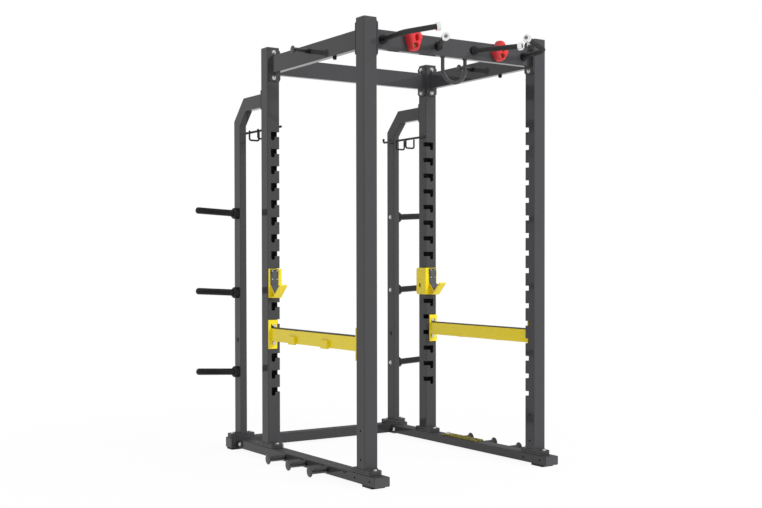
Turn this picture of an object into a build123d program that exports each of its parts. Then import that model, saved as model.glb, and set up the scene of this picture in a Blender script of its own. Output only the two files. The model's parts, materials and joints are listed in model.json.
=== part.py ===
"""Power cage: slotted uprights, bolted beams and rails, plate storage at the back, and lift-off bar rests."""
import os

from build123d import *

# Cage, in millimetres: +X to the right, -Y to the front, +Z up.
# Widths and depths are measured between tube centres.
CAGE_WIDTH = 1136
CAGE_DEPTH = 1054
STORAGE_DEPTH = 397
CAGE_HEIGHT = 2410

# Tube sections.
UPRIGHT = 80
UPRIGHT_WALL = 4
UPRIGHT_CORNER = 5
BEAM_TALL = 100
BEAM_THICK = 40
RAIL_WIDE = 90
RAIL_TALL = 50
CROSS_TALL = 60
STORAGE_WIDE = 44
STORAGE_DEEP = 80
TUBE_WALL = 3
TUBE_CORNER = 4
LEAST_CORNER = 1

# Slots down the inner corner of each upright.
SLOT_COUNT = 16
SLOT_PITCH = 100
SLOT_FIRST = 402
SLOT_TALL = 28
SLOT_SIDE_REACH = 32
SLOT_FACE_REACH = 57
SLOT_HOOK_WIDE = 25
SLOT_HOOK_TALL = 50

# Top beams and their end flanges.
BEAM_DROP = 55
FRONT_BEAM_BACK = 10
FLANGE_TALL = 190
FLANGE_THICK = 8
FLANGE_CHAMFER = 16
FLANGE_BOLTS = 148
PLATE_EDGE = 1.2
CAP_THICK = 5
CAP_PLUG = 10
CAP_CHAMFER = 2

# Base.
PAD_THICK = 12
PAD_LONG = 100
PAD_WIDE = 84
PAD_FRONT = 30
RAIL_FRONT = 142
END_CAP_THICK = 4
CROSS_MARGIN = 2
FOOT_LONG = 190
FOOT_THICK = 12
FOOT_BOLTS = 150
STORAGE_FOOT_LONG = 160
STORAGE_FOOT_BOLTS = 116
SPIGOT_LONG = 70
SPIGOT_BOLT_BACK = 33
SPIGOT_CLEAR = 0.5
REAR_BOLT_SPACING = 50

# Fasteners.
BOLT = 12
BOLT_CLEAR = 0.3
HEAD_ACROSS = 19
HEAD_TALL = 8
WASHER = 26
WASHER_TALL = 2
NUT_TALL = 10
BOLT_TAIL = 3
ACCESSORY_HOLE = 12
UPRIGHT_HOLES = (136, 284)
RAIL_HOLES = (-92, 50)

# Storage posts, plate horns and the accessory hook rails.
ARM_DROP = 260
ELBOW_RUN = 130
ARM_FLANGE_TALL = 140
HORN = 40
HORN_LONG = 276
HORN_FIRST = 475
HORN_PITCH = 488
HORN_COUNT = 3
HORN_TILT = 3
HORN_CAP_LONG = 18
HORN_CAP_ROUND = 13
COLLAR = 68
COLLAR_LONG = 34
COLLAR_CHAMFER = 7
PLUG = 22
PLUG_HEIGHT = 672
PLUG_HEAD = 3
HOOK_RAIL = 14
HOOK_RAIL_DROP = 200
HOOK_RAIL_GAP = 3
HOOK_RAIL_TURN_UP = 26
HOOK_WIRE = 11
HOOK_SPAN = 64
HOOK_DROP = 57
HOOK_RISE = 25
HOOK_TIP = 10
HOOK_BEND = 12
HOOK_PLACES = (154, 266)

# Pull-up handles: root, bend and tip, in front of and above the middle of the front beam's face.
# Across the cage, the outer handle is measured in from the upright's centre, and the inner one from the middle.
HANDLE = 28
HANDLE_COLLAR = 46
HANDLE_COLLAR_LONG = 12
HANDLE_CAP = 44
HANDLE_CAP_LONG = 22
HANDLE_CAP_CHAMFER = 3
HANDLE_CAP_RECESS = 24
HANDLE_CAP_RECESS_DEEP = 4
HANDLE_BEND = 45
OUTER_HANDLE = ((95, 0, 0), (100, -185, 8), (262, -237, 45))
INNER_HANDLE = ((120, 0, 0), (243, -233, 0))

# Climbing holds and the suspension ring on the front beam.
HOLD_PLACE = 290
HOLD_RISE = 12
HOLD_WIDE = 104
HOLD_TALL = 114
HOLD_TOP_WIDE = 58
HOLD_LOW_WIDE = 52
HOLD_SHOULDER = 6
HOLD_DEEP = 50
HOLD_TAPER = 14
HOLD_ROUND = 22
HOLD_EDGE = 7
POCKET_X = 1
POCKET_RISE = 10
POCKET_WIDE = 18
POCKET_TALL = 30
POCKET_DEEP = 32
HOLD_SCREW_X = -4
HOLD_SCREW_DROP = 30
HOLD_SCREW_SEAT = 22
HOLD_SCREW_HEAD = 18
HOLD_SCREW_TALL = 12
HOLD_SCREW_CLEAR = 3
RING = 20
RING_WIDE = 150
RING_DROP = 132

# Band pegs.
RAIL_PEG = 32
RAIL_PEG_LONG = 112
RAIL_PEG_DISC = 60
RAIL_PEG_PLACES = (327, 564, 800)
TOP_PEG = 26
TOP_PEG_LONG = 110
TOP_PEG_DISC = 44
TOP_PEG_PLACE = 550
TOP_PEG_RISE = 10
PEG_DISC_THICK = 8
STUD_PLACE = 315
STUD = 22
STUD_LONG = 18
STUD_ROUND = 7

# Lugs that hang the bar rests and safety bars in the slots.
LUG_NECK = 22
LUG_CLEAR = 0.3
LUG_FACE_GAP = 0.5
LUG_HEAD_WIDE = 40
LUG_HEAD_TALL = 24
LUG_HEAD_THICK = 8
LUG_SPAN = 1
STUD_NUT = 22
STUD_NUT_TALL = 6
PLATE_TALL = 170
PLATE_THICK = 8
PLATE_BELOW_LUG = 34

# Bar rests.
REST_SLOT = 6
REST_OUTER_EDGE = 37
REST_MIDDLE = 3
REST_SIDE_GAP = 3
REST_BEND = 9
REST_SIDE_THICK = 8
REST_SIDE_DEEP = 101
REST_SIDE_CHAMFER = 10
REST_SIDE_HOLE = 20
REST_SIDE_HOLE_LONG = 27
REST_SIDE_HOLE_UP = 59
REST_SIDE_HOLE_BACK = 64
LIP_WIDE = 48
LIP_REACH = 116
LIP_RISE = 78
LIP_TIP_BACK = 6
LIP_TIP_DROP = 7
LIP_FLOOR = 40
LIP_FLOOR_THICK = 8
LIP_FLOOR_BACK = 34
TROUGH_REACH = 50
TROUGH_RISE = 24
TROUGH_ARM_RISE = 76
TROUGH_ARM_THICK = 7
TROUGH_ARM_SINK = 6
LINER_THICK = 8
LINER_WIDE = 50
LINER_REACH = 90
LINER_GAP = 0.3
LINER_LIFT = 0.8
LINER_TOP_MARGIN = 3
SCREW = 10
SCREW_TALL = 4
SCREW_SHANK = 6
SCREW_SPACING_X = 30
SCREW_SPACING_Z = 48.5
SCREW_TOP_MARGIN = 13

# Safety bars.
SAFETY_SLOT = 3
SAFETY_TALL = 75
SAFETY_THICK = 40
SAFETY_INSET = 15
SAFETY_PLATE_INSET = 17
SAFETY_PAD_THICK = 5
SAFETY_PAD_MARGIN = 2
SAFETY_PAD_END = 12
BLOCK_LONG = 72
BLOCK_TALL = 46
BLOCK_THICK = 15
BLOCK_DIP = 5
BLOCK_PLACES = (374, 738)

# Drilled strap on the right rail.
STRAP_START = 520
STRAP_LONG = 330
STRAP_WIDE = 70
STRAP_THICK = 8
STRAP_HOLE = 20
STRAP_HOLE_COUNT = 4
STRAP_END = 24

HALF = CAGE_WIDTH / 2
FACE = UPRIGHT / 2
STORAGE_Y = CAGE_DEPTH + STORAGE_DEPTH
RAIL_TOP = PAD_THICK + RAIL_TALL
UPRIGHT_FOOT = RAIL_TOP + 2 * FOOT_THICK
CROSS_TOP = PAD_THICK + CROSS_TALL
STORAGE_FOOT = CROSS_TOP + 2 * FOOT_THICK
CROSS_END = HALF + STORAGE_FOOT_LONG / 2 + CROSS_MARGIN
RAIL_MID = PAD_THICK + RAIL_TALL / 2
BEAM_TOP = CAGE_HEIGHT - BEAM_DROP
BEAM_MID = BEAM_TOP - BEAM_TALL / 2
BEAM_FRONT_Y = FRONT_BEAM_BACK - BEAM_THICK / 2
ARM_TOP = CAGE_HEIGHT - ARM_DROP
CROSS_FRONT_Y = STORAGE_Y - STORAGE_DEEP / 2
CROSS_BACK_Y = STORAGE_Y + STORAGE_DEEP / 2
BOLT_HOLE = BOLT + 2 * BOLT_CLEAR
SLOT_HOOK_X = -FACE + SLOT_FACE_REACH - SLOT_HOOK_WIDE / 2
LUG_BELOW_SLOT = SLOT_HOOK_TALL - SLOT_TALL / 2 - LUG_NECK / 2 - LUG_CLEAR
EPS = 1


def block(x, y, z):
    """A box between the two limits given for each axis."""
    centre = ((x[0] + x[1]) / 2, (y[0] + y[1]) / 2, (z[0] + z[1]) / 2)
    return Pos(*centre) * Box(abs(x[1] - x[0]), abs(y[1] - y[0]), abs(z[1] - z[0]))


def rod(start, direction, diameter, length):
    """A round bar from a point along a direction."""
    return extrude(Plane(origin=start, z_dir=direction) * Circle(diameter / 2), amount=length)


def tube_face(wide, deep, wall, corner):
    """The section of a rounded rectangular tube."""
    inner_corner = max(corner - wall, LEAST_CORNER)
    inner = RectangleRounded(wide - 2 * wall, deep - 2 * wall, inner_corner)
    return RectangleRounded(wide, deep, corner) - inner


def tube_up(wide, deep, low, high, wall=TUBE_WALL, corner=TUBE_CORNER):
    """An upright tube on the Z axis."""
    return extrude(Pos(0, 0, low) * tube_face(wide, deep, wall, corner), amount=high - low)


def tube_along_y(wide, tall, front, back, wall=TUBE_WALL, corner=TUBE_CORNER):
    """A tube along Y, centred on the Y axis."""
    plane = Plane(origin=(0, front, 0), x_dir=(1, 0, 0), z_dir=(0, 1, 0))
    return extrude(plane * tube_face(wide, tall, wall, corner), amount=back - front)


def tube_along_x(deep, tall, left, right, wall=TUBE_WALL, corner=TUBE_CORNER):
    """A tube along X, centred on the X axis."""
    plane = Plane(origin=(left, 0, 0), x_dir=(0, 1, 0), z_dir=(1, 0, 0))
    return extrude(plane * tube_face(deep, tall, wall, corner), amount=right - left)


def mirrored(shape):
    """The same piece on the left side of the cage."""
    return mirror(shape, about=Plane.YZ)


def both(shapes):
    """Right-hand pieces and their left-hand twins."""
    return [mirrored(shape) for shape in shapes] + list(shapes)


def bolt(seat, direction, grip):
    """A washer-faced hex bolt: its head stands on the seat and its shank runs back through the grip."""
    plane = Plane(origin=seat, z_dir=direction)
    washer = extrude(plane * Circle(WASHER / 2), amount=WASHER_TALL)
    head_radius = HEAD_ACROSS / 2
    head = extrude(plane * RegularPolygon(head_radius, 6, major_radius=False), amount=WASHER_TALL + HEAD_TALL)
    shank = extrude(plane * Circle(BOLT / 2), amount=-(grip + NUT_TALL + BOLT_TAIL))
    return washer + head + shank


def nut(seat, direction):
    """A hex nut whose near face lies on the seat and which extends along the direction."""
    plane = Plane(origin=seat, z_dir=direction)
    outline = RegularPolygon(HEAD_ACROSS / 2, 6, major_radius=False) - Circle(BOLT_HOLE / 2)
    return extrude(plane * outline, amount=NUT_TALL)


def drilled(shape, points, direction, length, diameter=BOLT_HOLE):
    """The shape with round holes started at the points."""
    for point in points:
        shape = shape - rod(point, direction, diameter, length)
    return shape


def chamfered_plate(wide, tall, thick, cut):
    """A flat plate in XY with its four corners cut off and its edges broken."""
    outline = Rectangle(wide, tall)
    plate = extrude(chamfer(outline.vertices(), cut), amount=thick)
    faces = plate.faces().sort_by(Axis.Z)
    return chamfer(faces[0].edges() + faces[-1].edges(), PLATE_EDGE)


# Uprights

def slot_cutters():
    """All L-shaped slots of the rear right upright, in that upright's own frame."""
    hook_radius = SLOT_HOOK_WIDE / 2
    run_end = SLOT_HOOK_X + hook_radius
    run = Pos((run_end - FACE - EPS) / 2, 0) * Rectangle(run_end + FACE + EPS, SLOT_TALL)
    hook_low = SLOT_TALL / 2 - SLOT_HOOK_TALL + hook_radius
    hook_high = SLOT_TALL / 2
    hook = Pos(SLOT_HOOK_X, (hook_low + hook_high) / 2) * Rectangle(SLOT_HOOK_WIDE, hook_high - hook_low)
    outline = run + hook + Pos(SLOT_HOOK_X, hook_low) * Circle(hook_radius)
    depth = UPRIGHT_WALL + 2 * EPS
    face_cut = extrude(Plane.XZ.offset(FACE - UPRIGHT_WALL - EPS) * outline, amount=depth)
    side_cut = block(
        (-FACE - EPS, -FACE + UPRIGHT_WALL + EPS),
        (-FACE - EPS, -FACE + SLOT_SIDE_REACH),
        (-SLOT_TALL / 2, SLOT_TALL / 2),
    )
    one = face_cut + side_cut
    return [Pos(0, 0, SLOT_FIRST + index * SLOT_PITCH) * one for index in range(SLOT_COUNT)]


def flange_bolt_heights():
    """Heights of the two bolts in each beam flange."""
    return [BEAM_MID - FLANGE_BOLTS / 2, BEAM_MID + FLANGE_BOLTS / 2]


def arm_bolt_heights():
    """Heights of the two bolts in each storage arm flange."""
    middle = ARM_TOP - STORAGE_DEEP / 2
    edge = (ARM_FLANGE_TALL + STORAGE_DEEP) / 4
    return [middle - edge, middle + edge]


def upright_blank():
    """A slotted upright in the rear right orientation, before its bolt holes."""
    shape = tube_up(UPRIGHT, UPRIGHT, UPRIGHT_FOOT, CAGE_HEIGHT - CAP_THICK, UPRIGHT_WALL, UPRIGHT_CORNER)
    for cutter in slot_cutters():
        shape = shape - cutter
    heights = flange_bolt_heights()
    shape = drilled(shape, [(0, 0, z) for z in heights], (-1, 0, 0), FACE + EPS)
    return drilled(shape, [(0, 0, z) for z in heights], (0, -1, 0), FACE + EPS)


def uprights():
    """The four uprights and their top caps."""
    blank = upright_blank()
    rear = drilled(blank, [(0, 0, z) for z in arm_bolt_heights()], (0, 1, 0), FACE + EPS)
    front = mirror(blank, about=Plane.XZ)
    through = UPRIGHT + 2 * EPS
    front = drilled(front, [(-FACE - EPS, 0, z) for z in UPRIGHT_HOLES], (1, 0, 0), through, ACCESSORY_HOLE)
    rear_right = Pos(HALF, CAGE_DEPTH, 0) * rear
    front_right = Pos(HALF, 0, 0) * front
    lid = extrude(RectangleRounded(UPRIGHT, UPRIGHT, UPRIGHT_CORNER), amount=CAP_THICK)
    lid = chamfer(lid.faces().sort_by(Axis.Z)[-1].edges(), CAP_CHAMFER)
    bore = UPRIGHT - 2 * UPRIGHT_WALL - 2 * BOLT_CLEAR
    plug = Pos(0, 0, -CAP_PLUG / 2) * Box(bore, bore, CAP_PLUG)
    plug = fillet(plug.edges().filter_by(Axis.Z), UPRIGHT_CORNER)
    cap = Pos(0, 0, CAGE_HEIGHT - CAP_THICK) * (lid + plug)
    caps = [Pos(HALF, y, 0) * cap for y in (0, CAGE_DEPTH)]
    return {
        "upright_front_left": [mirrored(front_right)],
        "upright_front_right": [front_right],
        "upright_rear_left": [mirrored(rear_right)],
        "upright_rear_right": [rear_right],
        "upright_top_caps": both(caps),
    }


# Top frame

def flange():
    """A beam flange standing in the XZ plane, its back on the plane and its thickness to the front."""
    plate = chamfered_plate(UPRIGHT, FLANGE_TALL, FLANGE_THICK, FLANGE_CHAMFER)
    offsets = [(0, side * FLANGE_BOLTS / 2, -EPS) for side in (-1, 1)]
    plate = drilled(plate, offsets, (0, 0, 1), FLANGE_THICK + 2 * EPS)
    return Plane.XZ * plate


def top_frame():
    """Four beams, each welded between two flanges that bolt to the uprights."""
    reach = FACE + FLANGE_THICK
    side_beam = Pos(HALF, 0, BEAM_MID) * tube_along_y(BEAM_THICK, BEAM_TALL, reach, CAGE_DEPTH - reach)
    cross_beam = tube_along_x(BEAM_THICK, BEAM_TALL, reach - HALF, HALF - reach)
    front_beam = Pos(0, FRONT_BEAM_BACK, BEAM_MID) * cross_beam
    front_beam = drilled(front_beam, hold_screw_places(BEAM_FRONT_Y - EPS), (0, 1, 0), TUBE_WALL + 2 * EPS)
    facing_front = flange()
    facing_back = Rot(0, 0, 180) * facing_front
    facing_left = Rot(0, 0, -90) * facing_front
    inner = HALF - FACE
    flanges = [
        Pos(HALF, FACE, BEAM_MID) * facing_back,
        Pos(HALF, CAGE_DEPTH - FACE, BEAM_MID) * facing_front,
        Pos(inner, 0, BEAM_MID) * facing_left,
        Pos(inner, CAGE_DEPTH, BEAM_MID) * facing_left,
    ]
    bolts, nuts = [], []
    for z in flange_bolt_heights():
        for y, out in ((0, 1), (CAGE_DEPTH, -1)):
            bolts.append(bolt((HALF, y + out * reach, z), (0, out, 0), FLANGE_THICK + UPRIGHT_WALL))
            nuts.append(nut((HALF, y + out * (FACE - UPRIGHT_WALL), z), (0, -out, 0)))
            bolts.append(bolt((HALF - reach, y, z), (-1, 0, 0), FLANGE_THICK + UPRIGHT_WALL))
            nuts.append(nut((inner + UPRIGHT_WALL, y, z), (1, 0, 0)))
    return {
        "front_top_beam": [front_beam],
        "rear_top_beam": [Pos(0, CAGE_DEPTH, BEAM_MID) * cross_beam],
        "side_top_beams": both([side_beam]),
        "beam_flanges": both(flanges),
        "flange_bolts": both(bolts),
        "frame_nuts": both(nuts),
    }


# Base

def base_frame():
    """Two side rails that run into a rear crossmember, on rubber pads."""
    rail = Pos(HALF, 0, RAIL_MID) * tube_along_y(RAIL_WIDE, RAIL_TALL, -RAIL_FRONT, CROSS_FRONT_Y)
    rail_through = RAIL_WIDE + 2 * EPS
    rail_edge = HALF - RAIL_WIDE / 2
    rail_points = [(rail_edge - EPS, y, RAIL_MID) for y in RAIL_HOLES]
    rail = drilled(rail, rail_points, (1, 0, 0), rail_through, ACCESSORY_HOLE)
    spigot_bolt_y = CROSS_FRONT_Y - SPIGOT_BOLT_BACK
    rail = drilled(rail, [(rail_edge - EPS, spigot_bolt_y, RAIL_MID)], (1, 0, 0), rail_through)
    foot_points = [(HALF, y + side * FOOT_BOLTS / 2, RAIL_TOP + EPS)
                   for y in (0, CAGE_DEPTH) for side in (-1, 1)]
    rail = drilled(rail, foot_points, (0, 0, -1), TUBE_WALL + 2 * EPS)

    cross_mid = PAD_THICK + CROSS_TALL / 2
    cross = Pos(0, STORAGE_Y, cross_mid) * tube_along_x(
        STORAGE_DEEP, CROSS_TALL, -CROSS_END, CROSS_END)
    rear_points = [(side * HALF + offset * REAR_BOLT_SPACING / 2, CROSS_BACK_Y + EPS, RAIL_MID)
                   for side in (-1, 1) for offset in (-1, 1)]
    cross = drilled(cross, rear_points, (0, -1, 0), STORAGE_DEEP + 2 * EPS)
    storage_points = [(side * HALF + offset * STORAGE_FOOT_BOLTS / 2, STORAGE_Y, CROSS_TOP + EPS)
                      for side in (-1, 1) for offset in (-1, 1)]
    cross = drilled(cross, storage_points, (0, 0, -1), TUBE_WALL + 2 * EPS)

    spigot_wide = RAIL_WIDE - 2 * TUBE_WALL - 2 * SPIGOT_CLEAR
    spigot_tall = RAIL_TALL - 2 * TUBE_WALL - 2 * SPIGOT_CLEAR
    spigot = Pos(HALF, 0, RAIL_MID) * tube_along_y(
        spigot_wide, spigot_tall, CROSS_FRONT_Y - SPIGOT_LONG, CROSS_FRONT_Y)
    spigot = drilled(spigot, [(rail_edge - EPS, spigot_bolt_y, RAIL_MID)], (1, 0, 0), rail_through)
    backing = block(
        (HALF - spigot_wide / 2 + TUBE_WALL, HALF + spigot_wide / 2 - TUBE_WALL),
        (CROSS_FRONT_Y - FOOT_THICK, CROSS_FRONT_Y),
        (RAIL_MID - spigot_tall / 2 + TUBE_WALL, RAIL_MID + spigot_tall / 2 - TUBE_WALL),
    )
    right_points = [point for point in rear_points if point[0] > 0]
    spigot = drilled(spigot + backing, right_points, (0, -1, 0), STORAGE_DEEP + 2 * FOOT_THICK)

    bolts, nuts = [], []
    for side in (-1, 1):
        for offset in (-1, 1):
            x = side * HALF + offset * REAR_BOLT_SPACING / 2
            bolts.append(bolt((x, CROSS_BACK_Y, RAIL_MID), (0, 1, 0), STORAGE_DEEP + FOOT_THICK))
            nuts.append(nut((x, CROSS_FRONT_Y - FOOT_THICK, RAIL_MID), (0, -1, 0)))
        x = side * HALF
        bolts.append(bolt((x - RAIL_WIDE / 2, spigot_bolt_y, RAIL_MID), (-1, 0, 0), RAIL_WIDE))
        nuts.append(nut((x + RAIL_WIDE / 2, spigot_bolt_y, RAIL_MID), (1, 0, 0)))

    front_cap = Pos(HALF, -RAIL_FRONT, RAIL_MID) * end_cap(RAIL_WIDE, RAIL_TALL)
    side_cap = Pos(CROSS_END, STORAGE_Y, cross_mid) * Rot(0, 0, 90) * end_cap(STORAGE_DEEP, CROSS_TALL)
    front_pad = block(
        (HALF - PAD_WIDE / 2, HALF + PAD_WIDE / 2),
        (PAD_FRONT - RAIL_FRONT, PAD_FRONT - RAIL_FRONT + PAD_LONG),
        (0, PAD_THICK),
    )
    rear_pad = block(
        (CROSS_END - PAD_LONG, CROSS_END),
        (STORAGE_Y - STORAGE_DEEP / 2 + TUBE_CORNER, STORAGE_Y + STORAGE_DEEP / 2 - TUBE_CORNER),
        (0, PAD_THICK),
    )
    return {
        "left_base_rail": [mirrored(rail)],
        "right_base_rail": [rail],
        "rear_crossmember": [cross],
        "rail_spigots": both([spigot]),
        "base_bolts": bolts,
        "frame_nuts": nuts,
        "tube_end_caps": both([front_cap, side_cap]),
        "rubber_feet": both([front_pad, rear_pad]),
    }


def end_cap(wide, tall):
    """A plastic plug for a tube end that faces the front, its flange standing proud of the tube."""
    face = extrude(Plane.XZ * RectangleRounded(wide, tall, TUBE_CORNER), amount=END_CAP_THICK)
    gap = 2 * (TUBE_WALL + BOLT_CLEAR)
    tongue = extrude(Plane.XZ * Rectangle(wide - gap - TUBE_CORNER, tall - gap - TUBE_CORNER), amount=-CAP_PLUG)
    return face + tongue


def feet():
    """Foot flanges welded under the posts, the saddles that they bolt to, and the bolts."""
    holes = [(0, side * FOOT_BOLTS / 2, -EPS) for side in (-1, 1)]
    plate = chamfered_plate(UPRIGHT, FOOT_LONG, FOOT_THICK, FLANGE_CHAMFER)
    plate = drilled(plate, holes, (0, 0, 1), FOOT_THICK + 2 * EPS)
    holes = [(side * STORAGE_FOOT_BOLTS / 2, 0, -EPS) for side in (-1, 1)]
    storage_plate = chamfered_plate(STORAGE_FOOT_LONG, STORAGE_DEEP, FOOT_THICK, FLANGE_CHAMFER)
    storage_plate = drilled(storage_plate, holes, (0, 0, 1), FOOT_THICK + 2 * EPS)
    plates, bolts, nuts = [], [], []
    for y in (0, CAGE_DEPTH):
        plates.append(Pos(HALF, y, RAIL_TOP) * plate)
        plates.append(Pos(HALF, y, RAIL_TOP + FOOT_THICK) * plate)
        for side in (-1, 1):
            point_y = y + side * FOOT_BOLTS / 2
            bolts.append(bolt((HALF, point_y, UPRIGHT_FOOT), (0, 0, 1), 2 * FOOT_THICK + TUBE_WALL))
            nuts.append(nut((HALF, point_y, RAIL_TOP - TUBE_WALL), (0, 0, -1)))
    plates.append(Pos(HALF, STORAGE_Y, CROSS_TOP) * storage_plate)
    plates.append(Pos(HALF, STORAGE_Y, CROSS_TOP + FOOT_THICK) * storage_plate)
    for side in (-1, 1):
        x = HALF + side * STORAGE_FOOT_BOLTS / 2
        bolts.append(bolt((x, STORAGE_Y, STORAGE_FOOT), (0, 0, 1), 2 * FOOT_THICK + TUBE_WALL))
        nuts.append(nut((x, STORAGE_Y, CROSS_TOP - TUBE_WALL), (0, 0, -1)))
    return {
        "foot_plates": both(plates),
        "base_bolts": both(bolts),
        "frame_nuts": both(nuts),
    }


# Storage at the back

def storage_frame():
    """Two posts that turn over through a mitred elbow and bolt to the rear uprights."""
    half_deep = STORAGE_DEEP / 2
    back = STORAGE_Y + half_deep
    front = STORAGE_Y - half_deep
    arm_low = ARM_TOP - STORAGE_DEEP
    arm_end = CAGE_DEPTH + FACE + FLANGE_THICK
    bend_in = STORAGE_DEEP * (2 ** 0.5 - 1)
    post_outer = (back, ARM_TOP - ELBOW_RUN)
    post_inner = (front, ARM_TOP - ELBOW_RUN - bend_in)
    arm_outer = (back - ELBOW_RUN, ARM_TOP)
    arm_inner = (back - ELBOW_RUN - bend_in, arm_low)

    post_cut = Polyline(post_inner, post_outer, (back + EPS, CAGE_HEIGHT), (front - EPS, CAGE_HEIGHT),
                        close=True)
    arm_cut = Polyline(arm_inner, arm_outer, (back + EPS, ARM_TOP + EPS), (back + EPS, arm_low - EPS),
                       (arm_inner[0], arm_low - EPS), close=True)
    post = Pos(HALF, STORAGE_Y, 0) * tube_up(STORAGE_WIDE, STORAGE_DEEP, STORAGE_FOOT, CAGE_HEIGHT)
    post = post - cut_across(post_cut)
    arm_mid = ARM_TOP - half_deep
    arm = Pos(HALF, 0, arm_mid) * tube_along_y(STORAGE_WIDE, STORAGE_DEEP, arm_end, back)
    arm = arm - cut_across(arm_cut)

    middle_low = ((post_outer[0] + post_inner[0]) / 2, (post_outer[1] + post_inner[1]) / 2)
    section = Plane(origin=(HALF, middle_low[0], middle_low[1]), x_dir=(1, 0, 0), z_dir=(0, -1, 1))
    run = section * tube_face(STORAGE_WIDE, STORAGE_DEEP, TUBE_WALL, TUBE_CORNER)
    elbow = extrude(run, amount=ELBOW_RUN + STORAGE_DEEP) + extrude(run, amount=-STORAGE_DEEP)
    keep = Polyline(post_inner, post_outer, arm_outer, arm_inner, close=True)
    elbow = elbow & cut_across(keep)

    plate = chamfered_plate(UPRIGHT, ARM_FLANGE_TALL, FLANGE_THICK, FLANGE_CHAMFER)
    heights = arm_bolt_heights()
    plate = Pos(HALF, arm_end, arm_mid) * (Plane.XZ * plate)
    plate_points = [(HALF, CAGE_DEPTH + FACE - EPS, z) for z in heights]
    plate = drilled(plate, plate_points, (0, 1, 0), FLANGE_THICK + 2 * EPS)
    bolts = [bolt((HALF, arm_end, z), (0, 1, 0), FLANGE_THICK + UPRIGHT_WALL) for z in heights]
    nuts = [nut((HALF, CAGE_DEPTH + FACE - UPRIGHT_WALL, z), (0, -1, 0)) for z in heights]

    through = STORAGE_WIDE + 2 * EPS
    near_x = HALF - STORAGE_WIDE / 2 - EPS
    post = drilled(post, [(near_x, STORAGE_Y, z) for z in horn_heights()], (1, 0, 0), through)
    post = drilled(post, [(near_x, STORAGE_Y, PLUG_HEIGHT)], (1, 0, 0), through, PLUG)
    return {
        "left_storage_post": [mirrored(post)],
        "right_storage_post": [post],
        "storage_elbows": both([elbow]),
        "storage_arms": both([arm]),
        "storage_arm_flanges": both([plate]),
        "flange_bolts": both(bolts),
        "frame_nuts": both(nuts),
        "storage_post_plugs": both(post_plugs()),
    }


def cut_across(wire):
    """A slab across the right storage post, from an outline drawn in Y and Z."""
    return extrude(Plane.YZ.offset(HALF - STORAGE_WIDE) * make_face(wire), amount=2 * STORAGE_WIDE)


def post_plugs():
    """Round plastic plugs in the two ends of the hole through the right storage post."""
    plugs = []
    for side in (-1, 1):
        face = (HALF + side * STORAGE_WIDE / 2, STORAGE_Y, PLUG_HEIGHT)
        head = rod(face, (side, 0, 0), PLUG + 2 * PLUG_HEAD, PLUG_HEAD)
        stem = rod(face, (-side, 0, 0), PLUG - 2 * BOLT_CLEAR, 2 * TUBE_WALL)
        plugs.append(head + stem)
    return plugs


def horn_heights():
    """Heights of the plate horns."""
    return [HORN_FIRST + index * HORN_PITCH for index in range(HORN_COUNT)]


def plate_horns():
    """Horns that slope up and out from the storage posts, with a collar, an end cap and a bolt each."""
    horns, collars, caps, bolts = [], [], [], []
    face_x = HALF + STORAGE_WIDE / 2
    for z in horn_heights():
        frame = Pos(face_x, STORAGE_Y, z) * Rot(0, 90 - HORN_TILT, 0)
        base = Pos(0, 0, -COLLAR) * extrude(Circle(COLLAR / 2), amount=COLLAR + COLLAR_LONG)
        base = chamfer(base.faces().sort_by(Axis.Z)[-1].edges(), COLLAR_CHAMFER)
        collar = frame * base - block((0, face_x), (0, 2 * STORAGE_Y), (0, CAGE_HEIGHT))
        well = rod((face_x - EPS, STORAGE_Y, z), (1, 0, 0), BOLT_HOLE, NUT_TALL + BOLT_TAIL + 2 * EPS)
        collars.append(collar - well)
        body_end = HORN_LONG - HORN_CAP_LONG
        horns.append(frame * extrude(Pos(0, 0, COLLAR_LONG) * Circle(HORN / 2), amount=body_end - COLLAR_LONG))
        cap = extrude(Pos(0, 0, body_end) * Circle(HORN / 2), amount=HORN_CAP_LONG)
        caps.append(frame * fillet(cap.faces().sort_by(Axis.Z)[-1].edges(), HORN_CAP_ROUND))
        bolts.append(bolt((HALF - STORAGE_WIDE / 2, STORAGE_Y, z), (-1, 0, 0), STORAGE_WIDE))
    return {
        "plate_horns": both(horns),
        "horn_collars": both(collars),
        "horn_end_caps": both(caps),
        "horn_bolts": both(bolts),
    }


def hook_rails():
    """Round rails between each storage post and its upright, with two wire hooks under each."""
    x = HALF - FACE - HOOK_RAIL_GAP - HOOK_RAIL / 2
    front = CAGE_DEPTH - FACE
    z = ARM_TOP - HOOK_RAIL_DROP
    path = FilletPolyline((x, front, z), (x, CROSS_BACK_Y, z), (x, CROSS_BACK_Y, z + HOOK_RAIL_TURN_UP),
                          radius=HOOK_RAIL)
    rail = sweep(Plane(origin=(x, front, z), z_dir=(0, 1, 0)) * Circle(HOOK_RAIL / 2), path=path)
    for y, reach in ((CAGE_DEPTH, FACE), (STORAGE_Y, STORAGE_WIDE / 2)):
        rail = rail + rod((x, y, z), (1, 0, 0), HOOK_RAIL - 2 * EPS, HALF - reach - x)
    hooks = [wire_hook(x - HOOK_RAIL / 2 - HOOK_WIRE / 2, CAGE_DEPTH + place, z) for place in HOOK_PLACES]
    return {
        "hook_rails": both([rail]),
        "wire_hooks": both(hooks),
    }


def wire_hook(x, y, z):
    """A U of round wire whose inner leg runs down beside the rail."""
    low = z - HOOK_DROP
    points = [(x, y, z + HOOK_RISE), (x, y, low), (x + HOOK_SPAN, y, low), (x + HOOK_SPAN, y, z - HOOK_TIP)]
    path = FilletPolyline(*points, radius=HOOK_BEND)
    return sweep(Plane(origin=points[0], z_dir=(0, 0, -1)) * Circle(HOOK_WIRE / 2), path=path)


# Pieces on the front beam

def beam_point(point):
    """A point given from the middle of the front beam's face."""
    return (point[0], point[1] + BEAM_FRONT_Y, point[2] + BEAM_MID)


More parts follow.
